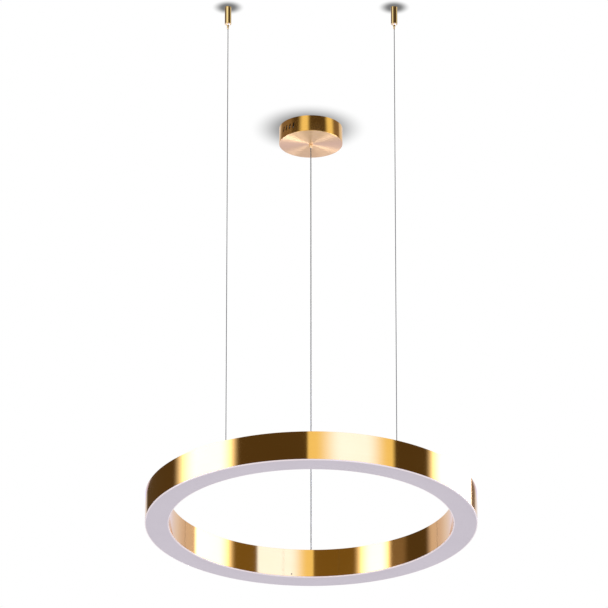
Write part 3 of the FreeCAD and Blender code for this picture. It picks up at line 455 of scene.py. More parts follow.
# the opal's paler edge colour is a painted highlight along the diffuser's rims
OPAL = Opal("opal_acrylic", (0.600, 0.545, 0.620), (0.575, 0.522, 0.597), (0.36, 0.44), 420.0,
            0.03, edge=(0.86, 0.76, 0.80), radii=(RING_INNER_R, RING_OUTER_R), highlight_w=2.2 * MM,
            highlight_clear=1.32 * MM)
WHITE_NYLON = Plastic("white_nylon", (0.84, 0.84, 0.81), (0.78, 0.78, 0.75), (0.40, 0.52))
WHITE_WIRE = Plastic("white_wire", (0.86, 0.86, 0.84), (0.80, 0.80, 0.78), (0.26, 0.36))
CLEAR_WIRE = Plastic("clear_wire", (0.70, 0.68, 0.66), (0.60, 0.58, 0.57), (0.16, 0.26), coat=0.6)
DRIVER_CASE = Plastic("driver_case", (0.84, 0.84, 0.83), (0.79, 0.79, 0.78), (0.42, 0.56),
                      texture=1600.0, relief=0.35)
WHITE_BOARD = Plastic("white_board", (0.90, 0.90, 0.88), (0.85, 0.85, 0.83), (0.22, 0.32))
PHOSPHOR = Plastic("led_phosphor", (0.92, 0.74, 0.16), (0.86, 0.66, 0.12), (0.30, 0.42))
BRAID = Plastic("cable_braid", (0.19, 0.185, 0.19), (0.11, 0.107, 0.11), (0.40, 0.52),
                texture=2600.0, relief=0.5)
JACKET = ClearJacket("clear_jacket", (0.60, 0.59, 0.60))


# ---- shapes -----------------------------------------------------------------------------
def bevel(bm: bmesh.types.BMesh, geom: Sequence[object], width: float, affect: str,
          segments: int = 2) -> None:
    """Rounds corners or edges."""
    bmesh.ops.bevel(bm, geom=geom, offset=width, offset_type="OFFSET", affect=affect,
                    segments=segments, profile=0.5, material=-1, clamp_overlap=True)


def spin(bm: bmesh.types.BMesh, geom: Sequence[object], centre: Vector, angle: float, steps: int,
         closed: bool) -> None:
    """Turns a profile about the upright axis through a centre."""
    bmesh.ops.spin(bm, geom=geom, cent=(centre.x, centre.y, 0.0), axis=UP, dvec=(0.0, 0.0, 0.0),
                   angle=angle, steps=steps, use_merge=closed, use_duplicate=False)


def pushed(bm: bmesh.types.BMesh, face: bmesh.types.BMFace,
           way: Sequence[float]) -> tuple[list[bmesh.types.BMVert], bmesh.types.BMFace]:
    """Draws a face out along a vector.

    Args:
        bm: where it is.
        face: the face.
        way: the vector.

    Returns:
        The new corners and the new face.
    """
    geom = bmesh.ops.extrude_face_region(bm, geom=[face])["geom"]
    verts = [g for g in geom if isinstance(g, bmesh.types.BMVert)]
    bmesh.ops.translate(bm, vec=way, verts=verts)
    return verts, next(g for g in geom if isinstance(g, bmesh.types.BMFace))


def crisp(mesh: bpy.types.Mesh, sharp: float) -> None:
    """Shades a mesh smooth, with crisp edges where it turns by more than some degrees."""
    mesh.shade_smooth()
    mesh.set_sharp_from_angle(angle=math.radians(sharp))


def finished(bm: bmesh.types.BMesh, name: str, sharp: float = CRISP_ANGLE,
             outward: bool = True) -> bpy.types.Object:
    """Turns a bmesh into an object at the origin, smooth with crisp edges.

    Args:
        bm: the shape, freed here.
        name: the object's name.
        sharp: edges that turn by more than this many degrees stay crisp.
        outward: whether to turn all faces outwards first.

    Returns:
        The object.
    """
    bmesh.ops.remove_doubles(bm, verts=bm.verts[:], dist=WELD)
    if outward:
        bmesh.ops.recalc_face_normals(bm, faces=bm.faces[:])
    mesh = bpy.data.meshes.new(name)
    bm.to_mesh(mesh)
    bm.free()
    crisp(mesh, sharp)
    piece = bpy.data.objects.new(name, mesh)
    bpy.context.scene.collection.objects.link(piece)
    return piece


def spun_into(bm: bmesh.types.BMesh, outline: Outline, centre: Vector, steps: int,
              soften: float = 0.0) -> None:
    """Adds a solid turned about the upright axis through a centre.

    Args:
        bm: where to add it.
        outline: its closed (radius, z) corners.
        centre: a point on the axis; its z is added to the outline's.
        steps: how many facets round.
        soften: how far each corner of the outline is rounded.
    """
    corners = [bm.verts.new((centre.x + r, centre.y, centre.z + z)) for r, z in outline]
    face = bm.faces.new(corners)
    if soften > 0.0:
        bevel(bm, [v for v in corners if v.co.x > centre.x + 1e-9], soften, "VERTICES")
        face = next(f for f in bm.faces if f.is_valid and all(
            abs(v.co.y - centre.y) < 1e-9 for v in f.verts) and len(f.edges) > 2
            and all(len(e.link_faces) == 1 for e in f.edges))
    edges = list(face.edges)
    verts = list(face.verts)
    bm.faces.remove(face)
    on_axis = [e for e in edges if all(v.co.x - centre.x < WELD for v in e.verts)]
    edges = [e for e in edges if e not in on_axis]
    for edge in on_axis:
        bm.edges.remove(edge)
    spin(bm, verts + edges, centre, 2.0 * math.pi, steps, True)


def turned(name: str, outlines: Sequence[Outline], centre: Vector, steps: int = 64,
           soften: float = 0.0, sharp: float = CRISP_ANGLE) -> bpy.types.Object:
    """A piece made of one or more turned solids on one axis.

    Args:
        name: the piece's name.
        outlines: the closed (radius, z) corners of each solid.
        centre: a point on the axis.
        steps: how many facets round.
        soften: how far each corner is rounded.
        sharp: edges that turn by more than this many degrees stay crisp.

    Returns:
        The object.
    """
    bm = bmesh.new()
    for outline in outlines:
        spun_into(bm, outline, centre, steps, soften)
    return finished(bm, name, sharp)


def box_into(bm: bmesh.types.BMesh, low: Sequence[float], high: Sequence[float]) -> None:
    """Adds a box.

    Args:
        bm: where to add it.
        low: its lowest corner.
        high: its highest corner.
    """
    size = [b - a for a, b in zip(low, high)]
    matrix = Matrix.Translation((Vector(low) + Vector(high)) / 2) @ Matrix.Diagonal((*size, 1.0))
    bmesh.ops.create_cube(bm, size=1.0, matrix=matrix)


def stacked_into(bm: bmesh.types.BMesh, outline: Outline, rounding: float,
                 levels: Sequence[tuple[float, float]]) -> None:
    """Adds an upright body drawn up from a level outline with rounded corners.

    Args:
        bm: where to add it, empty so far.
        outline: the (x, y) corners of its plan, at its full width.
        rounding: how far the plan's corners are rounded.
        levels: the height of each level, from the lowest, and how far in it stands.
    """
    corners = [bm.verts.new((x, y, levels[0][0])) for x, y in outline]
    bm.faces.new(corners)
    bevel(bm, corners, rounding, "VERTICES", 5)
    face = max(bm.faces, key=lambda f: f.calc_area())
    verts = list(face.verts)
    low, high = ([pick(p[i] for p in outline) for i in (0, 1)] for pick in (min, max))
    reach = [b - a for a, b in zip(low, high)]
    about = Matrix.Translation((-(low[0] + high[0]) / 2, -(low[1] + high[1]) / 2, 0.0))
    width = reach
    for step, (height, inset) in enumerate(levels):
        if step > 0:
            below = face
            verts, face = pushed(bm, face, (0.0, 0.0, height - levels[step - 1][0]))
            if step > 1 and below.is_valid:
                bm.faces.remove(below)
        wanted = [r - 2.0 * inset for r in reach]
        bmesh.ops.scale(bm, vec=(wanted[0] / width[0], wanted[1] / width[1], 1.0), space=about,
                        verts=verts)
        width = wanted


def slot_into(bm: bmesh.types.BMesh, size: tuple[float, float, float], axis: int, sides: int,
              matrix: Matrix) -> None:
    """Adds a round-ended bar, drawn up from z = 0 and then moved.

    Args:
        bm: where to add it.
        size: its length, its width and how far it is drawn up.
        axis: 0 to lie along X, 1 along Y.
        sides: how many facets round.
        matrix: where it goes.
    """
    length, width, depth = size
    half = (length - width) / 2
    verts = bmesh.ops.create_circle(bm, cap_ends=True, segments=sides,
                                    radius=width / 2)["verts"]
    for vert in verts:
        vert.co[axis] += half if vert.co[axis] > 0.0 else -half
    far, _ = pushed(bm, verts[0].link_faces[0], (0.0, 0.0, depth))
    bmesh.ops.transform(bm, matrix=matrix, verts=verts + far)


def rod_into(bm: bmesh.types.BMesh, start: Vector, end: Vector, radius: float,
             sides: int = 24) -> None:
    """Adds a round bar between two points.

    Args:
        bm: where to add it.
        start: the middle of one end.
        end: the middle of the other end.
        radius: its radius.
        sides: how many facets round.
    """
    way = end - start
    turn = way.to_track_quat("Z", "Y").to_matrix().to_4x4()
    bmesh.ops.create_cone(bm, cap_ends=True, cap_tris=False, segments=sides, radius1=radius,
                          radius2=radius, depth=way.length,
                          matrix=Matrix.Translation((start + end) / 2) @ turn)


def upright_into(bm: bmesh.types.BMesh, x: float, y: float, low: float, high: float,
                 radius: float, sides: int = 24) -> None:
    """Adds an upright bar that stands MM beyond two heights."""
    rod_into(bm, Vector((x, y, low - MM)), Vector((x, y, high + MM)), radius, sides)


def tubes(name: str, lines: Sequence[Sequence[Vector]], radii: Sequence[float],
          sides: int) -> bpy.types.Object:
    """One mesh of round tubes along lines.

    Args:
        name: the piece's name.
        lines: the points of each tube.
        radii: the radius of each tube.
        sides: facets round each, an even number of 4 or more.

    Returns:
        The object.
    """
    curve = bpy.data.curves.new(name, "CURVE")
    curve.dimensions = "3D"
    curve.bevel_depth = max(radii)
    curve.bevel_resolution = (sides - 4) // 2
    curve.use_fill_caps = True
    for line, radius in zip(lines, radii):
        spline = curve.splines.new("POLY")
        spline.points.add(len(line) - 1)
        for point, place in zip(spline.points, line):
            point.co = (*place, 1.0)
            point.radius = radius / max(radii)
    holder = bpy.data.objects.new(name + "_curve", curve)
    mesh = bpy.data.meshes.new_from_object(holder)
    bpy.data.objects.remove(holder)
    bpy.data.curves.remove(curve)
    bm = bmesh.new()
    bm.from_mesh(mesh)
    bpy.data.meshes.remove(mesh)
    return finished(bm, name, TUBE_CRISP_ANGLE)


def cut_away(piece: bpy.types.Object, cutter: bpy.types.Object) -> None:
    """Takes a cutter's shape out of a piece for good, and removes the cutter.

    Args:
        piece: what is cut.
        cutter: what is taken out.
    """
    modifier = piece.modifiers.new("cut", "BOOLEAN")
    modifier.operation = "DIFFERENCE"
    modifier.solver = "EXACT"
    modifier.use_self = True
    modifier.object = cutter
    graph = bpy.context.evaluated_depsgraph_get()
    mesh = bpy.data.meshes.new_from_object(piece.evaluated_get(graph))
    piece.modifiers.clear()
    old = piece.data
    piece.data = mesh
    mesh.name = old.name
    bpy.data.meshes.remove(old)
    bpy.data.objects.remove(cutter)
    crisp(mesh, CRISP_ANGLE)


def dress(piece: bpy.types.Object, material: bpy.types.Material) -> None:
    """Gives a piece one material.

    Args:
        piece: a new piece or a CAD node.
        material: its finish.
    """
    if piece.material_slots:
        for slot in piece.material_slots:
            slot.material = material
    else:
        piece.data.materials.append(material)


def place_on(piece: bpy.types.Object, body: Body, material: bpy.types.Material,
             nodes: Sequence[str] = ()) -> bpy.types.Object:
    """Dresses a new piece, hangs it on its body and hides the nodes that it stands for.

    Args:
        piece: the new piece.
        body: what it moves with.
        material: its finish.
        nodes: the CAD nodes that it replaces.

    Returns:
        The piece.
    """
    dress(piece, material)
    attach(piece, body.value)
    if nodes:
        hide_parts(*nodes)
    LOG.info("%s rides on %s and has %d faces", piece.name, body.value, len(piece.data.polygons))
    return piece


def keep_nodes(names: Iterable[str], material: bpy.types.Material) -> None:
    """Dresses CAD nodes that stay as they are.

    Args:
        names: the nodes.
        material: their finish.
    """
    for name in names:
        dress(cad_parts[name], material)
        LOG.info("%s is kept", name)


def keep_all(table: dict[str, Metal | Plastic]) -> None:
    """Dresses the kept nodes of a table, whose keys list them with blanks between."""
    for names, finish in table.items():
        keep_nodes(names.split(), finish.material())


# ---- camera and studio ------------------------------------------------------------------
@dataclass
class Camera:
    """The photograph's camera: far off, below the ring and looking up."""

    distance: float = 12.0
    below: float = math.radians(22.28)
    pitch: float = math.radians(24.17)
    aside: float = -0.013
    lens: float = 393.8

    def build(self) -> None:
        """Makes the camera and puts it in the scene."""
        data = bpy.data.cameras.new("camera")
        data.lens = self.lens
        data.sensor_width = 36.0
        data.clip_end = 500.0
        camera = bpy.data.objects.new("camera", data)
        aim = Vector((0.0, -RING_MID_R, BRASS_BOTTOM))
        camera.location = aim - Vector((-self.aside, self.distance * math.cos(self.below),
                                        self.distance * math.sin(self.below)))
        camera.rotation_euler = (math.pi / 2 + self.pitch, 0.0, 0.0)
        bpy.context.scene.collection.objects.link(camera)
        bpy.context.scene.camera = camera


class Tone(Enum):
    """The plain tones of the studio's lights, flags and cards; 1 is the room's white."""

    FLAG = (0.10, 0.07, 0.035)
    UMBER = (0.22, 0.15, 0.045)
    DIM = (0.26, 0.20, 0.16)
    ROSE = (0.80, 0.76, 1.06)
    PALE = (0.90, 0.94, 1.30)
    ROOM = (0.90, 0.88, 0.92)
    WARM = (1.15, 1.10, 0.75)
    CREAM = (1.40, 2.00, 4.80)
    WHITE = (5.20, 5.40, 6.50)
    NIGHT = (0.16, 0.15, 0.14)
    BRIGHT = (1.90, 1.90, 1.90)


@dataclass(frozen=True)
class Strip:
    """One light, flag or card on a studio wall; the gaps between strips blend softly."""

    tone: Tone
    start: float
    end: float


OUTER_STRIPS = (
    Strip(Tone.ROOM, -180.0, -149.0), Strip(Tone.FLAG, -140.0, -97.0),
    Strip(Tone.WHITE, -74.0, -57.0), Strip(Tone.FLAG, -43.0, -2.8),
    Strip(Tone.WARM, -2.2, 2.0), Strip(Tone.CREAM, 18.0, 32.0), Strip(Tone.WARM, 47.0, 50.2),
    Strip(Tone.FLAG, 51.0, 74.0), Strip(Tone.WHITE, 90.0, 129.0),
    Strip(Tone.DIM, 131.0, 138.0), Strip(Tone.ROOM, 146.0, 180.0),
)
INNER_STRIPS = (
    Strip(Tone.PALE, -180.0, -158.0), Strip(Tone.ROSE, -142.0, -130.0),
    Strip(Tone.FLAG, -119.0, -98.0), Strip(Tone.DIM, -89.0, -79.0),
    Strip(Tone.WHITE, -66.0, -57.0), Strip(Tone.UMBER, -39.0, -2.8),
    Strip(Tone.WARM, -2.2, 3.0), Strip(Tone.CREAM, 20.0, 50.0), Strip(Tone.UMBER, 51.0, 72.0),
    Strip(Tone.WHITE, 92.0, 118.0), Strip(Tone.ROSE, 124.0, 140.0),
    Strip(Tone.PALE, 158.0, 180.0),
)
LOW_STRIPS = (
    Strip(Tone.ROOM, -180.0, -150.0), Strip(Tone.NIGHT, -125.0, -90.0),
    Strip(Tone.BRIGHT, -80.0, -52.0), Strip(Tone.NIGHT, -44.0, -3.0),
    Strip(Tone.BRIGHT, 20.0, 40.0), Strip(Tone.NIGHT, 52.0, 78.0),
    Strip(Tone.BRIGHT, 83.0, 121.0), Strip(Tone.NIGHT, 126.0, 140.0),
    Strip(Tone.ROOM, 150.0, 180.0),
)
CANOPY_STRIPS = (
    Strip(Tone.ROOM, -180.0, -150.0), Strip(Tone.DIM, -120.0, -78.0),
    Strip(Tone.FLAG, -60.0, -47.0), Strip(Tone.WARM, -26.0, -15.0),
    Strip(Tone.FLAG, -1.0, 47.0), Strip(Tone.WARM, 64.0, 74.0), Strip(Tone.DIM, 92.0, 114.0),
    Strip(Tone.ROOM, 126.0, 180.0),
)
UNDER_STRIPS = (Strip(Tone.ROSE, -180.0, 180.0),)


@dataclass
class StudioWall:
    """A round studio wall of lights, flags and cards, that only reflections see."""

    name: str
    centre: Vector
    radius: float
    low: float
    high: float
    strips: Sequence[Strip]
    start: float = -180.0
    end: float = 180.0
    top_level: float = 8.0
    facet: float = 3.0
    fewest: int = 12

    def build(self) -> None:
        """Makes the wall; azimuth 0 is towards -Y and grows towards +X."""
        bm = bmesh.new()
        turn = math.radians(self.start)
        foot = self.centre + Vector((math.sin(turn), -math.cos(turn), 0.0)) * self.radius
        ends = [bm.verts.new((foot.x, foot.y, z)) for z in (self.low, self.high)]
        sweep = self.end - self.start
        spin(bm, [*ends, bm.edges.new(ends)], self.centre, math.radians(sweep),
             max(self.fewest, int(sweep / self.facet)), sweep >= 360.0)
        wall = finished(bm, self.name, outward=False)
        for ray in ("camera", "diffuse", "shadow", "transmission", "volume_scatter"):
            setattr(wall, "visible_" + ray, False)
        dress(wall, self.glow())

    def glow(self) -> bpy.types.Material:
        """The glow of the strips, by azimuth.

        Returns:
            The material.
        """
        nodes = Nodes(self.name)
        x, y, _ = nodes.split(nodes.place((self.centre.x, self.centre.y, 0.0)))
        turn = nodes.maths("ARCTAN2", x, nodes.maths("MULTIPLY", y, -1.0))
        ramp = nodes.add("ValToRGB", {0: nodes.spread(turn, 0.0, 1.0, -math.pi, math.pi)})
        ramp.color_ramp.interpolation = "EASE"
        elements = ramp.color_ramp.elements
        while len(elements) < 2 * len(self.strips):
            elements.new(0.5)
        for i, strip in enumerate(self.strips):
            for element, azimuth in zip(elements[2 * i:2 * i + 2], (strip.start, strip.end)):
                element.position = (azimuth + 180.0) / 360.0
                element.color = (*(level / self.top_level for level in strip.tone.value), 1.0)
        return nodes.surface(nodes.add("Emission", {"Strength": self.top_level,
                                                    "Color": ramp.outputs[0]}))


@dataclass
class Studio:
    """The white room: world, floor, ceiling backdrop and the strips that brass reflects."""

    floor: float = -7.5
    floor_half: float = 200.0
    ceiling: float = 0.0002
    ceiling_half: float = 16.0
    wall_r: float = 1.0
    wall_levels: tuple[float, ...] = (-0.05, -0.503, -0.95, -1.75)
    card_r: float = 0.98
    card_foot: float = -0.425
    card_ends: tuple[float, float] = (125.0, 235.0)
    ceiling_wall_r: float = 0.9
    ceiling_wall_levels: tuple[float, float] = (0.08, 0.80)
    canopy_shade_r: float = 0.113
    canopy_inside_r: float = 0.0592
    grip_shade_r: float = 0.031
    streak_from: Vector = field(default_factory=lambda: Vector((-0.28, 0.69, -0.667)))
    streak_distance: float = 1.2
    streak_power: float = 1.6
    streak_size: float = 0.14
    shade_depth: float = 0.80
    shade_core: float = 0.30
    inside_painted_shade: float = 0.03
    shade_aside: float = -0.004
    floor_grey: float = 0.92
    soft_edge: float = 0.4 * MM

    def build(self) -> None:
        """Makes the room and its light."""
        self.build_world()
        self.build_floor()
        self.build_ceiling()
        self.build_streak_lamp()
        top, split, foot, lowest = self.wall_levels
        r = self.wall_r
        StudioWall("inner_band_wall", RING_AXIS, r, split, top, INNER_STRIPS).build()
        StudioWall("outer_band_wall", RING_AXIS, r, foot, split, OUTER_STRIPS).build()
        StudioWall("low_wall", RING_AXIS, r, lowest, foot, LOW_STRIPS).build()
        StudioWall("canopy_card", RING_AXIS, self.card_r, self.card_foot, top, UNDER_STRIPS,
                   *self.card_ends).build()
        StudioWall("ceiling_wall", CANOPY_AXIS, self.ceiling_wall_r, *self.ceiling_wall_levels,
                   CANOPY_STRIPS).build()
        bpy.context.scene.view_settings.view_transform = "Standard"

    def build_world(self) -> None:
        """A plain white world."""
        world = bpy.data.worlds.new("white_room")
        world.use_nodes = True
        background = world.node_tree.nodes["Background"]
        background.inputs["Color"].default_value = (1.0, 1.0, 1.0, 1.0)
        background.inputs["Strength"].default_value = 1.0
        bpy.context.scene.world = world

    def build_streak_lamp(self) -> None:
        """A soft lamp low at the left that draws the streak on the brushed canopy base."""
        data = bpy.data.lights.new("streak_lamp", "AREA")
        data.shape = "DISK"
        data.size = self.streak_size
        data.energy = self.streak_power
        data.color = (1.0, 1.0, 1.0)
        data.diffuse_factor = 0.0
        lamp = bpy.data.objects.new("streak_lamp", data)
        lamp.location = self.streak_from.normalized() * self.streak_distance
        lamp.rotation_euler = self.streak_from.to_track_quat("Z", "Y").to_euler()
        lamp.visible_camera = False
        bpy.context.scene.collection.objects.link(lamp)

    def plane(self, name: str, half: float, z: float, facing: float) -> bpy.types.Object:
        """A level square.

        Args:
            name: its name.
            half: half its side.
            z: its height.
            facing: 1 to face up, -1 to face down.

        Returns:
            The object.
        """
        bm = bmesh.new()
        matrix = Matrix.Translation((0.0, 0.0, z)) @ Matrix.Diagonal((1.0, facing, facing, 1.0))
        bmesh.ops.create_grid(bm, x_segments=1, y_segments=1, size=half, matrix=matrix)
        piece = finished(bm, name, outward=False)
        return piece

    def build_floor(self) -> None:
        """The pale floor, seen only from above."""
        nodes = Nodes("floor_paint")
        paint = nodes.add("BsdfDiffuse", {"Color": (*[self.floor_grey] * 3, 1.0)})
        dress(self.plane("floor", self.floor_half, self.floor, 1.0), nodes.one_sided(paint))

    def shade(self, nodes: Nodes, centre: Vector, radius: float) -> Socket:
        """A soft round shade on the ceiling.

        Args:
            nodes: the ceiling's material.
            centre: its middle.
            radius: where it has faded out.

        Returns:
            The socket of what is left of the light.
        """
        off = nodes.distance((centre.x, centre.y, self.ceiling))
        return nodes.spread(off, 1.0 - self.shade_depth, 1.0, self.shade_core * radius, radius,
                            interpolation_type="SMOOTHSTEP")

    def build_ceiling(self) -> None:
        """The white ceiling, seen from below, with painted shade on the patch that the canopy
        covers and painted shadows round the canopy and the grips.
        """
        ceiling = self.plane("ceiling", self.ceiling_half, self.ceiling, -1.0)
        for ray in ("diffuse", "glossy", "shadow", "transmission"):
            setattr(ceiling, "visible_" + ray, False)
        nodes = Nodes("ceiling_paint")
        # painted shade: the ceiling inside the canopy's rim is dark, so the inside of the cup
        # looks shaded
        level = nodes.spread(nodes.distance((0.0, 0.0, self.ceiling)), self.inside_painted_shade, 1.0,
                             self.canopy_inside_r - self.soft_edge, self.canopy_inside_r)
        shades = [(Vector((self.shade_aside, 0.0, 0.0)), self.canopy_shade_r)]
        shades += [(side.place, self.grip_shade_r) for side in Side]
        for centre, radius in shades:
            level = nodes.maths("MULTIPLY", level, self.shade(nodes, centre, radius))
        dress(ceiling, nodes.one_sided(nodes.add("Emission", {"Strength": level})))


# ---- ropes and cable --------------------------------------------------------------------
@dataclass
class HangingLine:
    """A straight line from its ceiling mouth down to its ball, on one smooth spline."""

    name: str
    body: Body
    place: Vector
    mouth: float
    low: float
    radius: float

    def route(self) -> list[Vector]:
        """The points that the line follows, from its mouth down.

        Returns:
            Points read from the route's spline.
        """
        curve = bpy.data.curves.new(self.name + "_route", "CURVE")
        curve.dimensions = "3D"
        curve.resolution_u = 64
        spline = curve.splines.new("NURBS")
        heights = (self.mouth, (self.mouth + self.low) / 2, self.low)
        spline.points.add(len(heights) - 1)
        for point, height in zip(spline.points, heights):
            point.co = (self.place.x, self.place.y, height, 1.0)
        spline.order_u = 3
        spline.use_endpoint_u = True
        holder = bpy.data.objects.new(curve.name, curve)
        mesh = bpy.data.meshes.new_from_object(holder)
        points = [v.co.copy() for v in mesh.vertices]
        bpy.data.meshes.remove(mesh)
        bpy.data.objects.remove(holder)
        bpy.data.curves.remove(curve)
        return points

    def hang(self, cord: bpy.types.Object, points: Sequence[Vector],
             *inside: bpy.types.Object) -> None:
        """Args:
            cord: the piece; not used.
            points: its route; not used.
            inside: pieces that run inside it; not used.
        """
        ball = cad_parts[self.name + "_ball"]
        keep_nodes([ball.name], BRIGHT_STEEL.material())

    def helix(self, points: Sequence[Vector], offset: float, lay: float, phase: float,
              per_turn: int) -> list[Vector]:
        """A helix wound round the route.

        Args:
            points: the route.
            offset: the helix's radius.
            lay: the length of one turn; its sign gives the hand.
            phase: where it starts, in radians.
            per_turn: points on each turn.

        Returns:
            The helix's points.
        """
        start, end = points[0], points[-1]
        way = (end - start).normalized()
        side = way.orthogonal().normalized()
        other = way.cross(side)
        length = (end - start).length
        count = max(2, int(length / abs(lay) * per_turn))
        found = []
        for i in range(count + 1):
            along = length * i / count
            turn = phase + 2.0 * math.pi * along / lay
            found.append(start + way * along
                         + (side * math.cos(turn) + other * math.sin(turn)) * offset)
        return found


@dataclass
class SteelRope(HangingLine):
    """Six strands laid round a seventh."""

    lay: float = 9.5 * MM
    per_turn: int = 9
    outer_strands: int = 6

    def build(self, side: Side) -> None:
        """Args:
            side: which rope it is.
        """
        points = self.route()
        strand = self.radius / 3.0
        lines = [self.helix(points, 2.0 * strand, self.lay,
                            2.0 * math.pi * i / self.outer_strands, self.per_turn)
                 for i in range(self.outer_strands)]
        lines.append([points[0], points[-1]])
        rope = tubes(side.word + "_stranded_rope", lines, [strand] * len(lines), 6)
        place_on(rope, self.body, ROPE_STEEL.material(), (self.name,))
        self.hang(rope, points)


@dataclass
class PowerCable(HangingLine):
    """A clear jacket over two twisted cores under a braid."""

    braid_share: float = 0.72
    lay: float = 12.0 * MM
    per_turn: int = 12

    def build(self) -> None:
        points = self.route()
        jacket = tubes("cable_jacket", [points], [self.radius], 20)
        place_on(jacket, self.body, JACKET.material(), ("power_cable",))
        core = self.radius * self.braid_share / 2.0
        lines = [self.helix(points, core, self.lay, i * math.pi, self.per_turn)
                 for i in range(2)]
        inside = tubes("cable_braided_cores", lines, [core, core], 8)
        place_on(inside, self.body, BRAID.material())
        self.hang(jacket, points, inside)


# ---- ring -------------------------------------------------------------------------------
@dataclass
class RingShell:
    """The two rolled bands and the cover under their flanges."""

    flange_w: float = 6.0 * MM
    cover_t: float = 1.5 * MM
    soften: float = 0.25 * MM
    cover_soften: float = 0.15 * MM
    steps: int = 360
    screw_rise: float = 4.0 * MM
    screw_hole_r: float = 1.25 * MM
    screw_angles: tuple[float, ...] = (98.0, 218.0, 338.0)

    def build(self) -> None:
        """Makes the bands and the cover."""
        brass = RING_BRASS.material(RING_AXIS)
        outer = self.band("ring_outer_band", RING_OUTER_R, -1.0)
        place_on(outer, Body.RING, brass, ("outer_band",))
        inner = self.band("ring_inner_band", RING_INNER_R, 1.0)
        cut_away(inner, self.screw_holes())
        place_on(inner, Body.RING, brass, ("inner_band",))
        self.build_cover()

    def band(self, name: str, face: float, way: float) -> bpy.types.Object:
        """A rolled band with a flange at its top.

        Args:
            name: its name.
            face: the radius of the side that shows.
            way: 1 where the flange points outwards, -1 inwards.

        Returns:
            The object.
        """
        wall = face + way * BAND_T
        lip = wall + way * self.flange_w
        outline = [(face, BRASS_BOTTOM), (face, RING_TOP), (lip, RING_TOP), (lip, COVER_TOP),
                   (wall, COVER_TOP), (wall, BRASS_BOTTOM)]
        return turned(name, [outline], RING_AXIS, self.steps, self.soften)

    def screw_holes(self) -> bpy.types.Object:
        """The cutter of the three set-screw holes.

        Returns:
            The object.
        """
        bm = bmesh.new()
        for angle in self.screw_angles:
            turn = math.radians(angle)
            way = Vector((math.cos(turn), math.sin(turn), 0.0))
            start = RING_AXIS + way * (RING_INNER_R - BAND_T)
            start.z = BRASS_BOTTOM + self.screw_rise
            rod_into(bm, start, start + way * (4.0 * BAND_T), self.screw_hole_r, 20)
        return finished(bm, "screw_hole_cutter")

    def build_cover(self) -> None:
        """The annular cover plate."""
        inner = RING_INNER_R + BAND_T + FIT_GAP
        outer = RING_OUTER_R - BAND_T - FIT_GAP
        low = COVER_TOP - self.cover_t
        outline = [(inner, low), (outer, low), (outer, COVER_TOP), (inner, COVER_TOP)]
        cover = turned("ring_top_cover", [outline], RING_AXIS, self.steps, self.cover_soften)
        place_on(cover, Body.RING, COVER_BRASS.material(RING_AXIS),
                 ("top_cover",))


@dataclass
class Diffuser:
    """The opal channel flush with both walls."""

    thickness: float = 2.0 * MM
    rib_h: float = 8.0 * MM
    rib_t: float = 2.0 * MM
    rounding: float = 0.7 * MM
    steps: int = 360

    def half(self, face: float, way: float) -> Outline:
        """One half of the outline.

        Args:
            face: the radius of its side.
            way: 1 for the inner half, -1 for the outer one.

        Returns:
            The corners, from the one below.
        """
        low = BRASS_BOTTOM - self.thickness
        rib = face + way * (BAND_T + FIT_GAP)
        back = rib + way * self.rib_t
        top = BRASS_BOTTOM + self.rib_h
        return [(face + way * self.rounding, low),
                (face + way * 0.2 * self.rounding, low + 0.3 * self.rounding),
                (face, low + self.rounding), (face, BRASS_BOTTOM), (rib, BRASS_BOTTOM),
                (rib, top), (back, top), (back, BRASS_BOTTOM)]

    def build(self) -> None:
        """Makes the diffuser."""
        outline = self.half(RING_OUTER_R, -1.0) + self.half(RING_INNER_R, 1.0)[::-1]
        opal = turned("opal_diffuser", [outline], RING_AXIS, self.steps, 0.0, ROUND_CRISP_ANGLE)
        place_on(opal, Body.RING, OPAL.material(RING_AXIS), ("diffuser",))


class RingInside:
    """The fittings and the light source inside the channel, kept as they are."""

    def build(self) -> None:
        """Dresses the nodes."""
        keep_all({
            "section_brackets hanger_brackets carrier_screws": ZINC,
            "diffuser_set_screws": BLACK_STEEL,
            "left_bushing_nut right_bushing_nut ring_gland_nut": NUT_BRASS,
            "led_carrier_left led_carrier_front led_carrier_right": ALUMINIUM,
            "led_board_left led_board_front led_board_right": WHITE_BOARD,
            "led_chips_left led_chips_front led_chips_right": PHOSPHOR,
            "ring_terminal_block": WHITE_NYLON,
            "board_jumpers block_wires": WHITE_WIRE,
            "cable_cores": CLEAR_WIRE,
        })


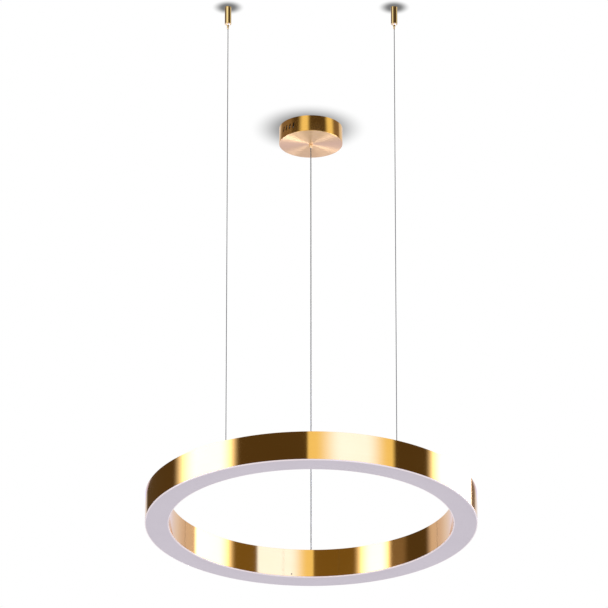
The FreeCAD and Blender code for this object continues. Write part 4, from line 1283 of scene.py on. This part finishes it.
@dataclass
class Bushing:
    """A turned bushing on the ring, hollowed for a ball."""

    name: str
    node: str
    place: Vector
    ball_z: float
    ball_r: float
    line_r: float
    ball_gap: float = 0.1 * MM
    flare: float = 1.95 * MM
    wall: float = 1.5 * MM
    rise: float = 6.0 * MM
    bottom: float = -879.7 * MM
    head_w: float = 2.0 * MM
    head_h: float = 3.0 * MM
    neck_w: float = 0.6 * MM
    groove_low: float = 0.6 * MM
    groove: float = 0.3 * MM
    soften: float = 0.12 * MM

    def build(self) -> None:
        """Makes the bushing with a groove round its neck."""
        bore = self.ball_r + self.ball_gap
        mouth = self.line_r + self.flare
        throat = 1.035 * self.line_r + 0.222 * bore + self.ball_gap
        shank = self.ball_r + self.wall
        head, neck = shank + self.head_w, shank + self.neck_w
        head_top = COVER_TOP + self.head_h
        groove = head_top + self.groove_low
        top = self.ball_z + self.rise
        outline = [
            (bore, self.bottom), (shank, self.bottom), (shank, COVER_TOP),
            (head, COVER_TOP), (head, head_top), (neck, head_top),
            (neck, groove), (neck - self.groove, groove + self.groove / 2),
            (neck, groove + self.groove), (neck, top), (mouth, top),
            (throat, self.ball_z + 0.83 * bore), (bore * 0.8, self.ball_z + 0.6 * bore),
            (bore, self.ball_z),
        ]
        piece = turned(self.name, [outline], self.place, 64, self.soften)
        place_on(piece, Body.RING, TURNED_BRASS.material(self.place),
                 (self.node,))


# ---- rope grips -------------------------------------------------------------------------
@dataclass
class RopeGrip:
    """The turned grip on the ceiling with its sprung release plunger."""

    side: Side
    sleeve_r: float = 6.0 * MM
    sleeve_low: float = -34.0 * MM
    sleeve_top: float = -1.5 * MM
    socket_r: float = 4.65 * MM
    cone_r: float = 4.10 * MM
    throat_r: float = 2.97 * MM
    throat_h: float = 3.0 * MM
    cone_h: float = 9.0 * MM
    floor: float = -32.0 * MM
    nose_low: float = -36.0 * MM
    nose_lip: float = 0.45 * MM
    nose_w: float = 1.15 * MM
    slide_gap: float = 0.08 * MM
    plunger_r: float = 1.9 * MM
    plunger_h: float = 9.8 * MM
    tip_chamfer: float = 0.4 * MM
    groove_low: float = 1.6 * MM
    groove: float = 0.2 * MM
    soften: float = 0.10 * MM
    tip_soften: float = 0.05 * MM
    collar_r: float = 2.72 * MM
    collar_h: float = 1.2 * MM
    bore_r: float = 0.95 * MM
    spring_low: float = -22.2 * MM
    spring_high: float = -10.0 * MM
    spring_r: float = 1.6 * MM
    spring_wire_r: float = 0.3 * MM
    spring_gap: float = 0.1 * MM
    spring_turns: int = 4
    per_turn: int = 24
    travel: float = 2.5 * MM

    def build(self) -> None:
        """Makes the sleeve, the plunger and the spring, and dresses what is inside."""
        brass = GRIP_BRASS.material(self.side.place)
        word = self.side.word
        place_on(self.sleeve(), Body.CEILING, brass, (word + "_grip_sleeve",))
        place_on(self.plunger(), self.side.release, brass,
                 (word + "_release_plunger",))
        self.build_spring()
        keep_nodes([word + "_anchor_socket"], NUT_BRASS.material(self.side.place))
        keep_all({word + "_grip_balls": BRIGHT_STEEL, word + "_rope_tail": ROPE_STEEL})

    def build_spring(self) -> None:
        """Winds the spring between the socket and the plunger."""
        low = self.spring_low + self.spring_wire_r + self.spring_gap
        high = self.spring_high - self.spring_wire_r - self.spring_gap
        count = self.per_turn * self.spring_turns
        points = []
        for i in range(count + 1):
            turn = 2.0 * math.pi * i / self.per_turn
            points.append(self.side.place + Vector((
                self.spring_r * math.cos(turn), self.spring_r * math.sin(turn),
                low + (high - low) * i / count)))
        word = self.side.word
        spring = tubes(word + "_wound_spring", [points], [self.spring_wire_r], 10)
        place_on(spring, Body.CEILING, SPRING_STEEL.material(),
                 (word + "_release_spring",))
        anchor = self.side.place + Vector((0.0, 0.0, self.spring_high))
        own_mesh(spring)

    def sleeve(self) -> bpy.types.Object:
        """The sleeve with its nose and the wedge cone inside.

        Returns:
            The object.
        """
        hole = self.plunger_r + self.slide_gap
        throat = self.floor + self.throat_h
        outline = [
            (hole, self.nose_low), (hole + self.nose_lip, self.nose_low),
            (hole + self.nose_w, self.sleeve_low), (self.sleeve_r, self.sleeve_low),
            (self.sleeve_r, self.sleeve_top), (self.socket_r, self.sleeve_top),
            (self.socket_r, self.spring_high), (self.cone_r, self.spring_high),
            (self.cone_r, throat + self.cone_h), (self.throat_r, throat),
            (self.throat_r, self.floor), (hole, self.floor),
        ]
        return turned(self.side.word + "_turned_sleeve", [outline], self.side.place, 96,
                      self.soften)

    def plunger(self) -> bpy.types.Object:
        """The sprung tube that stands out below the nose.

        Returns:
            The object.
        """
        r, tip, top = self.plunger_r, ROPE_MOUTH, self.floor + self.plunger_h
        chamfer, groove, collar_top = self.tip_chamfer, self.groove, self.floor + self.collar_h
        groove_z = tip + self.groove_low
        outline = [
            (self.bore_r, tip), (r - chamfer, tip), (r, tip + chamfer), (r, groove_z),
            (r - groove, groove_z + groove), (r, groove_z + 2.0 * groove), (r, self.floor),
            (self.collar_r, self.floor), (self.collar_r, collar_top), (r, collar_top), (r, top),
            (self.bore_r, top),
        ]
        return turned(self.side.word + "_release_tip", [outline], self.side.place, 48,
                      self.tip_soften)


# ---- canopy -----------------------------------------------------------------------------
@dataclass
class Canopy:
    """The vented cup on the ceiling with its outlet."""

    radius: float = 60.0 * MM
    height: float = 32.0 * MM
    wall: float = 1.0 * MM
    floor_t: float = 1.2 * MM
    rounding: float = 0.6 * MM
    tube_r: float = 2.5 * MM
    hole_r: float = 2.55 * MM
    outlet_r: float = 3.5 * MM
    outlet_bore_r: float = 1.25 * MM
    outlet_tip_r: float = 2.4 * MM
    shoulder: float = -36.0 * MM
    outlet_soften: float = 0.10 * MM
    facing: float = 0.9
    vent_count: int = 4
    vent_pitch: float = 8.3
    vent_middle: float = 46.0
    vent_w: float = 3.0 * MM
    vent_l: float = 11.0 * MM
    vent_slant: float = 15.0
    steps: int = 240

    def build(self) -> None:
        """Makes the cup and the outlet, and dresses what is inside."""
        cup = self.cup()
        cut_away(cup, self.vent_cutters())
        place_on(cup, Body.CEILING, CANOPY_BRASS.material(CANOPY_AXIS),
                 ("canopy_cover",))
        self.paint(cup)
        place_on(self.outlet(), Body.CEILING, GRIP_BRASS.material(CANOPY_AXIS),
                 ("canopy_gland",))
        keep_all({
            "driver_screws": ZINC, "threaded_tube tube_nut": NUT_BRASS,
            "cable_collar": BRIGHT_STEEL, "mains_terminal_block": WHITE_NYLON,
            "driver_input_lead": WHITE_WIRE, "cable_tail": CLEAR_WIRE,
        })

    def paint(self, cup: bpy.types.Object) -> None:
        """Gives the base its brushed finish, whose paler colour is a painted reflection, and
        paints shade on the slots' edges and the inside of the cup.

        Args:
            cup: the cup with its slots.
        """
        # the base's paler colour is a painted reflection; its brushed grain is real
        cup.data.materials.append(BRUSHED_BASE_PAINTED_REFLECTION.material(CANOPY_AXIS))
        cup.data.materials.append(SHADE_PAINTED_BRASS.material(CANOPY_AXIS))
        middle, reach = -self.height / 2, self.vent_l / 2 + self.wall
        for face in cup.data.polygons:
            out, z = face.center.xy.length, face.center.z
            if face.normal.z < -self.facing and z < -self.height + 0.5 * self.floor_t:
                face.material_index = 1
            # painted shade: the slots' cut edges and the inside of the cup take the near-black
            # brass
            edge = self.radius - 0.9 * self.wall < out < self.radius - 0.1 * self.wall
            shaded_inside = (out > 1.5 * self.tube_r and face.normal.z > self.facing
                   and z < middle - reach
                   or face.normal.dot(face.center) < 0.0 and out > self.radius - 1.1 * self.wall)
            if shaded_inside or edge and middle - reach < z < middle + reach:
                face.material_index = 2

    def cup(self) -> bpy.types.Object:
        """The spun cup with its rounded lower edge.

        Returns:
            The object.
        """
        inside = self.radius - self.wall
        low = -self.height
        floor = low + self.floor_t
        r = self.rounding
        outline = [
            (self.hole_r, low), (self.radius - r, low),
            (self.radius - 0.55 * r, low + 0.12 * r), (self.radius - 0.12 * r, low + 0.55 * r),
            (self.radius, low + r), (self.radius, 0.0), (inside, 0.0), (inside, floor),
            (self.hole_r, floor),
        ]
        return turned("canopy_cup", [outline], CANOPY_AXIS, self.steps, 0.0, ROUND_CRISP_ANGLE)

    def vent_cutters(self) -> bpy.types.Object:
        """The slanted round-ended slots of both rows.

        Returns:
            One cutter.
        """
        bm = bmesh.new()
        middle = (self.vent_count - 1) / 2
        for row in (-self.vent_middle, 180.0 - self.vent_middle):
            for i in range(self.vent_count):
                azimuth = math.radians(row + (i - middle) * self.vent_pitch)
                turn = (Matrix.Rotation(azimuth, 4, "Z")
                        @ Matrix.Translation((0.0, 4.0 * self.wall - self.radius,
                                              -self.height / 2))
                        @ Matrix.Rotation(math.radians(self.vent_slant), 4, "Y")
                        @ Matrix.Rotation(math.pi / 2, 4, "X"))
                slot_into(bm, (self.vent_l, self.vent_w, 8.0 * self.wall), 1, 20, turn)
        return finished(bm, "vent_cutter")

    def outlet(self) -> bpy.types.Object:
        """The small turned outlet that the cable leaves by.

        Returns:
            The object.
        """
        bore, r, shoulder, seat = self.outlet_bore_r, self.outlet_r, self.shoulder, -self.height
        outline = [(bore, CABLE_MOUTH), (self.outlet_tip_r, CABLE_MOUTH), (r, shoulder), (r, seat),
                   (self.hole_r, seat), (self.hole_r, shoulder), (bore, shoulder)]
        return turned("canopy_outlet", [outline], CANOPY_AXIS, 64, self.outlet_soften)


@dataclass
class MountingPlate:
    """The folded plate on the ceiling: a strap, two wings and a bridge for the tube."""

    thickness: float = 2.0 * MM
    strap: tuple[float, float] = (47.0 * MM, 11.0 * MM)
    rear_wing: tuple[float, float] = (30.18 * MM, 42.0 * MM)
    front_wing: tuple[float, float] = (17.0 * MM, 32.0 * MM)
    bridge: tuple[float, float] = (14.0 * MM, 8.0 * MM)
    web: tuple[float, float] = (-24.8 * MM, -22.8 * MM)
    slot_x: float = 35.0 * MM
    slot_l: float = 12.0 * MM
    slot_w: float = 5.0 * MM
    tube_r: float = 2.55 * MM
    rounding: float = 1.2 * MM
    soften: float = 0.25 * MM

    def build(self) -> None:
        """Makes the plate with its bridge and holes."""
        bm = bmesh.new()
        (sx, sy), (rx, ry), (fx, fy) = self.strap, self.rear_wing, self.front_wing
        right = [(fx, -fy), (fx, -sy), (sx, -sy), (sx, sy), (rx, sy), (rx, ry)]
        t, edge = self.thickness, self.soften
        stacked_into(bm, right + [(-x, y) for x, y in reversed(right)], self.rounding,
                     [(-t, edge), (edge - t, 0.0), (-edge, 0.0), (0.0, edge)])
        self.bridge_into(bm)
        plate = finished(bm, "folded_mounting_plate")
        cut_away(plate, self.hole_cutters())
        place_on(plate, Body.CEILING, ZINC.material(), ("mounting_plate",))
        # the side faces get bare cut steel, darkened further as painted shade inside the canopy
        plate.data.materials.append(SHEARED_EDGE_PAINTED_SHADE.material())
        for face in plate.data.polygons:
            if face.center.z > -t and abs(face.normal.z) < 0.3:
                face.material_index = 1

    def bridge_into(self, bm: bmesh.types.BMesh) -> None:
        """Adds the bridge that hangs from the strap.

        Args:
            bm: where to add it.
        """
        half_x, half_y = self.bridge
        t = self.thickness
        low, web_top = self.web
        top = -0.75 * t
        left = [(t - half_x, web_top), (t - half_x, top), (-half_x, top), (-half_x, low)]
        corners = [bm.verts.new((x, -half_y, z))
                   for x, z in left + [(-x, z) for x, z in reversed(left)]]
        pushed(bm, bm.faces.new(corners), (0.0, 2.0 * half_y, 0.0))

    def hole_cutters(self) -> bpy.types.Object:
        """The ceiling-screw slots, the tube's hole and the driver's screw holes.

        Returns:
            One cutter.
        """
        bm = bmesh.new()
        for x in (-self.slot_x, self.slot_x):
            slot_into(bm, (self.slot_l, self.slot_w, -self.thickness - 2.0 * MM), 0, 32,
                      Matrix.Translation((x, 0.0, MM)))
        upright_into(bm, 0.0, 0.0, *self.web, self.tube_r, 32)
        for x, y in DRIVER_SCREWS:
            upright_into(bm, x, y, -self.thickness, 0.0, DRIVER_SCREW_R)
        return finished(bm, "plate_cutter")


@dataclass
class LedDriver:
    """The driver's moulded case: a base and a lid with a seam between them."""

    half: tuple[float, float] = (40.18 * MM, 13.0 * MM)
    middle_y: float = 26.0 * MM
    low: float = -20.0 * MM
    high: float = -2.0 * MM
    seam: float = -6.3 * MM
    seam_half: float = 0.25 * MM
    seam_edge: float = 0.05 * MM
    seam_depth: float = 0.5 * MM
    rounding: float = 2.5 * MM
    edge: float = 0.7 * MM
    rib_l: float = 14.0 * MM
    rib_w: float = 1.0 * MM
    rib_depth: float = 0.6 * MM
    rib_from: float = 2.2 * MM
    rib_pitch: float = 2.4 * MM
    ribs: int = 3

    def build(self) -> None:
        """Makes the case, cuts its screw holes and the grooves on its lid."""
        bm = bmesh.new()
        x, y = self.half
        back, front = self.middle_y - y, self.middle_y + y
        gap, step, edge = self.seam_half, self.seam_edge, self.edge
        stacked_into(bm, [(-x, back), (x, back), (x, front), (-x, front)], self.rounding, [
            (self.low, edge), (self.low + 0.3 * edge, 0.3 * edge), (self.low + edge, 0.0),
            (self.seam - gap, 0.0), (self.seam - gap + step, self.seam_depth),
            (self.seam + gap - step, self.seam_depth), (self.seam + gap, 0.0),
            (self.high - edge, 0.0), (self.high - 0.3 * edge, 0.3 * edge), (self.high, edge)])
        case = finished(bm, "driver_case")
        cut_away(case, self.cutters())
        place_on(case, Body.CEILING, DRIVER_CASE.material(), ("led_driver",))

    def cutters(self) -> bpy.types.Object:
        """The screw holes and the grooves at both ends of the lid.

        Returns:
            One cutter.
        """
        bm = bmesh.new()
        for x, y in DRIVER_SCREWS:
            upright_into(bm, x, y, self.low, self.high, DRIVER_SCREW_R)
        half = Vector((self.rib_w / 2, self.rib_l / 2, 0.0))
        for end in (-1.0, 1.0):
            for i in range(self.ribs):
                x = end * (self.half[0] - self.rib_from - self.rib_pitch * i)
                box_into(bm, Vector((x, self.middle_y, self.high - self.rib_depth)) - half,
                         Vector((x, self.middle_y, self.high + MM)) + half)
        return finished(bm, "case_cutter")


@dataclass
class CoverScrews:
    """The socket screws that hold the cover plate to the brackets."""

    angles: tuple[float, ...] = (126.75, 163.5, 200.25, 270.0, 339.75, 16.5, 53.25)
    radius: float = 1.45 * MM
    head_r: float = 2.75 * MM
    head_h: float = 1.9 * MM
    length: float = 3.5 * MM
    chamfer: float = 0.3 * MM
    key_r: float = 1.2 * MM
    key_depth: float = 1.0 * MM

    def build(self) -> None:
        """Makes every screw and cuts its socket."""
        bm, cutter = bmesh.new(), bmesh.new()
        r, h, z = self.head_r, self.head_h, COVER_TOP
        low = z - self.length
        outline = [(0.0, low), (self.radius - self.chamfer, low),
                   (self.radius, low + self.chamfer), (self.radius, z), (r, z),
                   (r, z + 0.6 * h), (0.94 * r, z + 0.82 * h), (0.8 * r, z + 0.96 * h),
                   (0.7 * r, z + h), (0.0, z + h)]
        for angle in self.angles:
            turn = math.radians(angle)
            place = RING_AXIS + Vector((math.cos(turn), math.sin(turn), 0.0)) * RING_MID_R
            spun_into(bm, outline, place, 32)
            top = Vector((place.x, place.y, z + h))
            rod_into(cutter, top - Vector((0.0, 0.0, self.key_depth)),
                     top + Vector((0.0, 0.0, MM)), self.key_r, 6)
        screws = finished(bm, "cover_socket_screws")
        cut_away(screws, finished(cutter, "key_cutter"))
        place_on(screws, Body.RING, SCREW_BRASS.material(), ("cover_screws",))


def main() -> None:
    """Builds the camera, the cords, the lamp and the studio in order."""
    logging.basicConfig(level=logging.INFO, format="%(message)s")
    Camera().build()
    for side in Side:
        SteelRope(side.word + "_rope", side.rope, side.place, ROPE_MOUTH,
                  ROPE_BALL_Z - ROPE_BALL_R, ROPE_R).build(side)
    PowerCable("cable", Body.CABLE, CANOPY_AXIS, CABLE_MOUTH, CABLE_BALL_Z - CABLE_BALL_R,
               CABLE_R).build()
    RingShell().build()
    Diffuser().build()
    RingInside().build()
    for side in Side:
        Bushing(side.word + "_ball_bushing", side.word + "_rope_bushing", side.place,
                ROPE_BALL_Z, ROPE_BALL_R, ROPE_R).build()
        RopeGrip(side).build()
    Bushing("rear_cable_gland", "ring_cable_gland", CANOPY_AXIS, CABLE_BALL_Z, CABLE_BALL_R,
            CABLE_R).build()
    Canopy().build()
    MountingPlate().build()
    LedDriver().build()
    CoverScrews().build()
    Studio().build()


if __name__ == "__main__":
    main()
